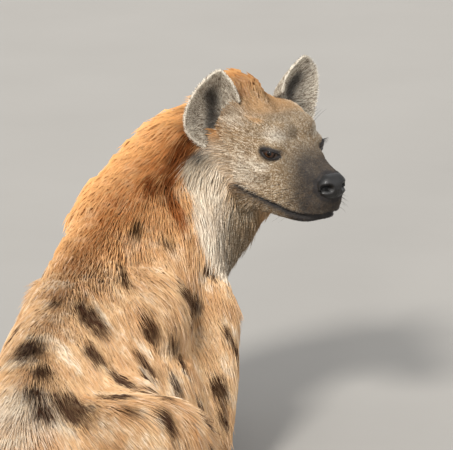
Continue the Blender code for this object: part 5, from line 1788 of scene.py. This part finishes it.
FLESH = ["torso", "neck", "head", "tail", "tail_brush"]
FLESH += [f"{part}_{side}" for part in ("upper_foreleg", "lower_foreleg", "thigh", "shank", "hind_foot", "forepaw",
                                        "hind_paw", "ear") for side in ("left", "right")]
SLOTS = {"skin": "body_coat", "nose_pad": "nose_leather", "claws": "leg_coat", "eyeball_right": "eye",
         "eyeball_left": "eye", "lid_right": "head_coat", "lid_left": "head_coat", "whiskers": "head_coat",
         "lashes": "head_coat", "coat_legs": "leg_coat", "coat_ears": "ear_coat", "coat_brush": "tail_brush_hair"}
SLOTS |= {obj.name: "head_coat" if "head" in obj.name else "body_coat" for obj in coats if obj.name not in SLOTS}
for obj in pieces:
    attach(obj, "root")
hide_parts(*FLESH)
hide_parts("nose")
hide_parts("eye_right")
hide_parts("eye_left")
print("pieces:", len(pieces))

# %% [markdown]
# ## Floor, light and camera
#
# A plain pale floor and soft light from the upper left, as on a bright cloudy day. The camera stands behind the animal
# and a little above it, far off with a long lens, which keeps the photograph's flat perspective. Its place is given in
# the body's axes, and the same shift as above brings it along.

# %% Floor and light
bm = bmesh.new()
bmesh.ops.create_grid(bm, x_segments=8, y_segments=8, size=60.0)
bmesh.ops.translate(bm, verts=bm.verts, vec=(0, 0, -0.0004))
floor_mesh = bpy.data.meshes.new("floor")
bm.to_mesh(floor_mesh)
bm.free()
floor = bpy.data.objects.new("floor", floor_mesh)
bpy.context.scene.collection.objects.link(floor)
floor_paint = Paint("floor_plaster", Roughness=0.9, Specular_IOR_Level=0.2)
floor_noise = floor_paint.noise(3.0, 4.0)
floor_paint.into("Base Color", floor_paint.mix(tone("8f8c87"), tone("96938e"), floor_noise))
floor_mesh.materials.append(floor_paint.material)
floor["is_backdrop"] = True

world = bpy.data.worlds.new("pale_sky")
bpy.context.scene.world = world
world.use_nodes = True
world.node_tree.nodes["Background"].inputs["Color"].default_value = (0.97, 0.98, 1.0, 1.0)
world.node_tree.nodes["Background"].inputs["Strength"].default_value = 0.90


def sun(name, heading, height, strength, spread, colour):
    """A far light from a compass heading, clockwise from +Y, and a height, both in degrees."""
    lamp = bpy.data.lights.new(name, "SUN")
    lamp.energy, lamp.angle, lamp.color = strength, math.radians(spread), colour
    obj = bpy.data.objects.new(name, lamp)
    h, e = math.radians(heading), math.radians(height)
    towards = Vector((math.sin(h) * math.cos(e), math.cos(h) * math.cos(e), math.sin(e)))
    obj.rotation_euler = towards.to_track_quat("Z", "Y").to_euler()
    bpy.context.scene.collection.objects.link(obj)
    return obj


sun("key", 198.0, 42.0, 3.7, 12.0, (1.0, 0.97, 0.925))
sun("glint", 188.0, 14.0, 0.9, 7.0, (1.0, 0.99, 0.96))
sun("fill", 118.0, 32.0, 1.0, 60.0, (0.97, 0.98, 1.0))

# %% Camera
heading, height, distance, focal = math.radians(8.0), math.radians(15.0), 6.0, 4020.0
ahead = Vector((-math.sin(heading) * math.cos(height), math.cos(heading) * math.cos(height), -math.sin(height)))
right = Vector((math.cos(heading), math.sin(heading), 0.0))
up = right.cross(ahead)
scale = focal / distance
camera_data = bpy.data.cameras.new("camera")
camera_data.lens = focal / 453.0 * 36.0
camera_data.sensor_width = 36.0
camera_data.sensor_fit = "HORIZONTAL"
camera_data.clip_start, camera_data.clip_end = 0.1, 200.0
camera = bpy.data.objects.new("camera", camera_data)
camera.matrix_world = Matrix((right, up, -ahead)).transposed().to_4x4()
camera.location = BETWEEN_EYES + SHIFT - ahead * distance - right * (67.5 / scale) - up * (75.0 / scale)
bpy.context.scene.collection.objects.link(camera)
bpy.context.scene.camera = camera
bpy.context.scene.view_settings.view_transform = "Standard"
print("camera", round(distance, 2), "metres away")

# %% [markdown]
# ## Size
#
# The coat stands a little proud of the solids. The box of the dressed model is printed.

# %% Sizes, then the end
low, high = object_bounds()
print("dressed model:", [round(b - a, 4) for a, b in zip(low, high)])
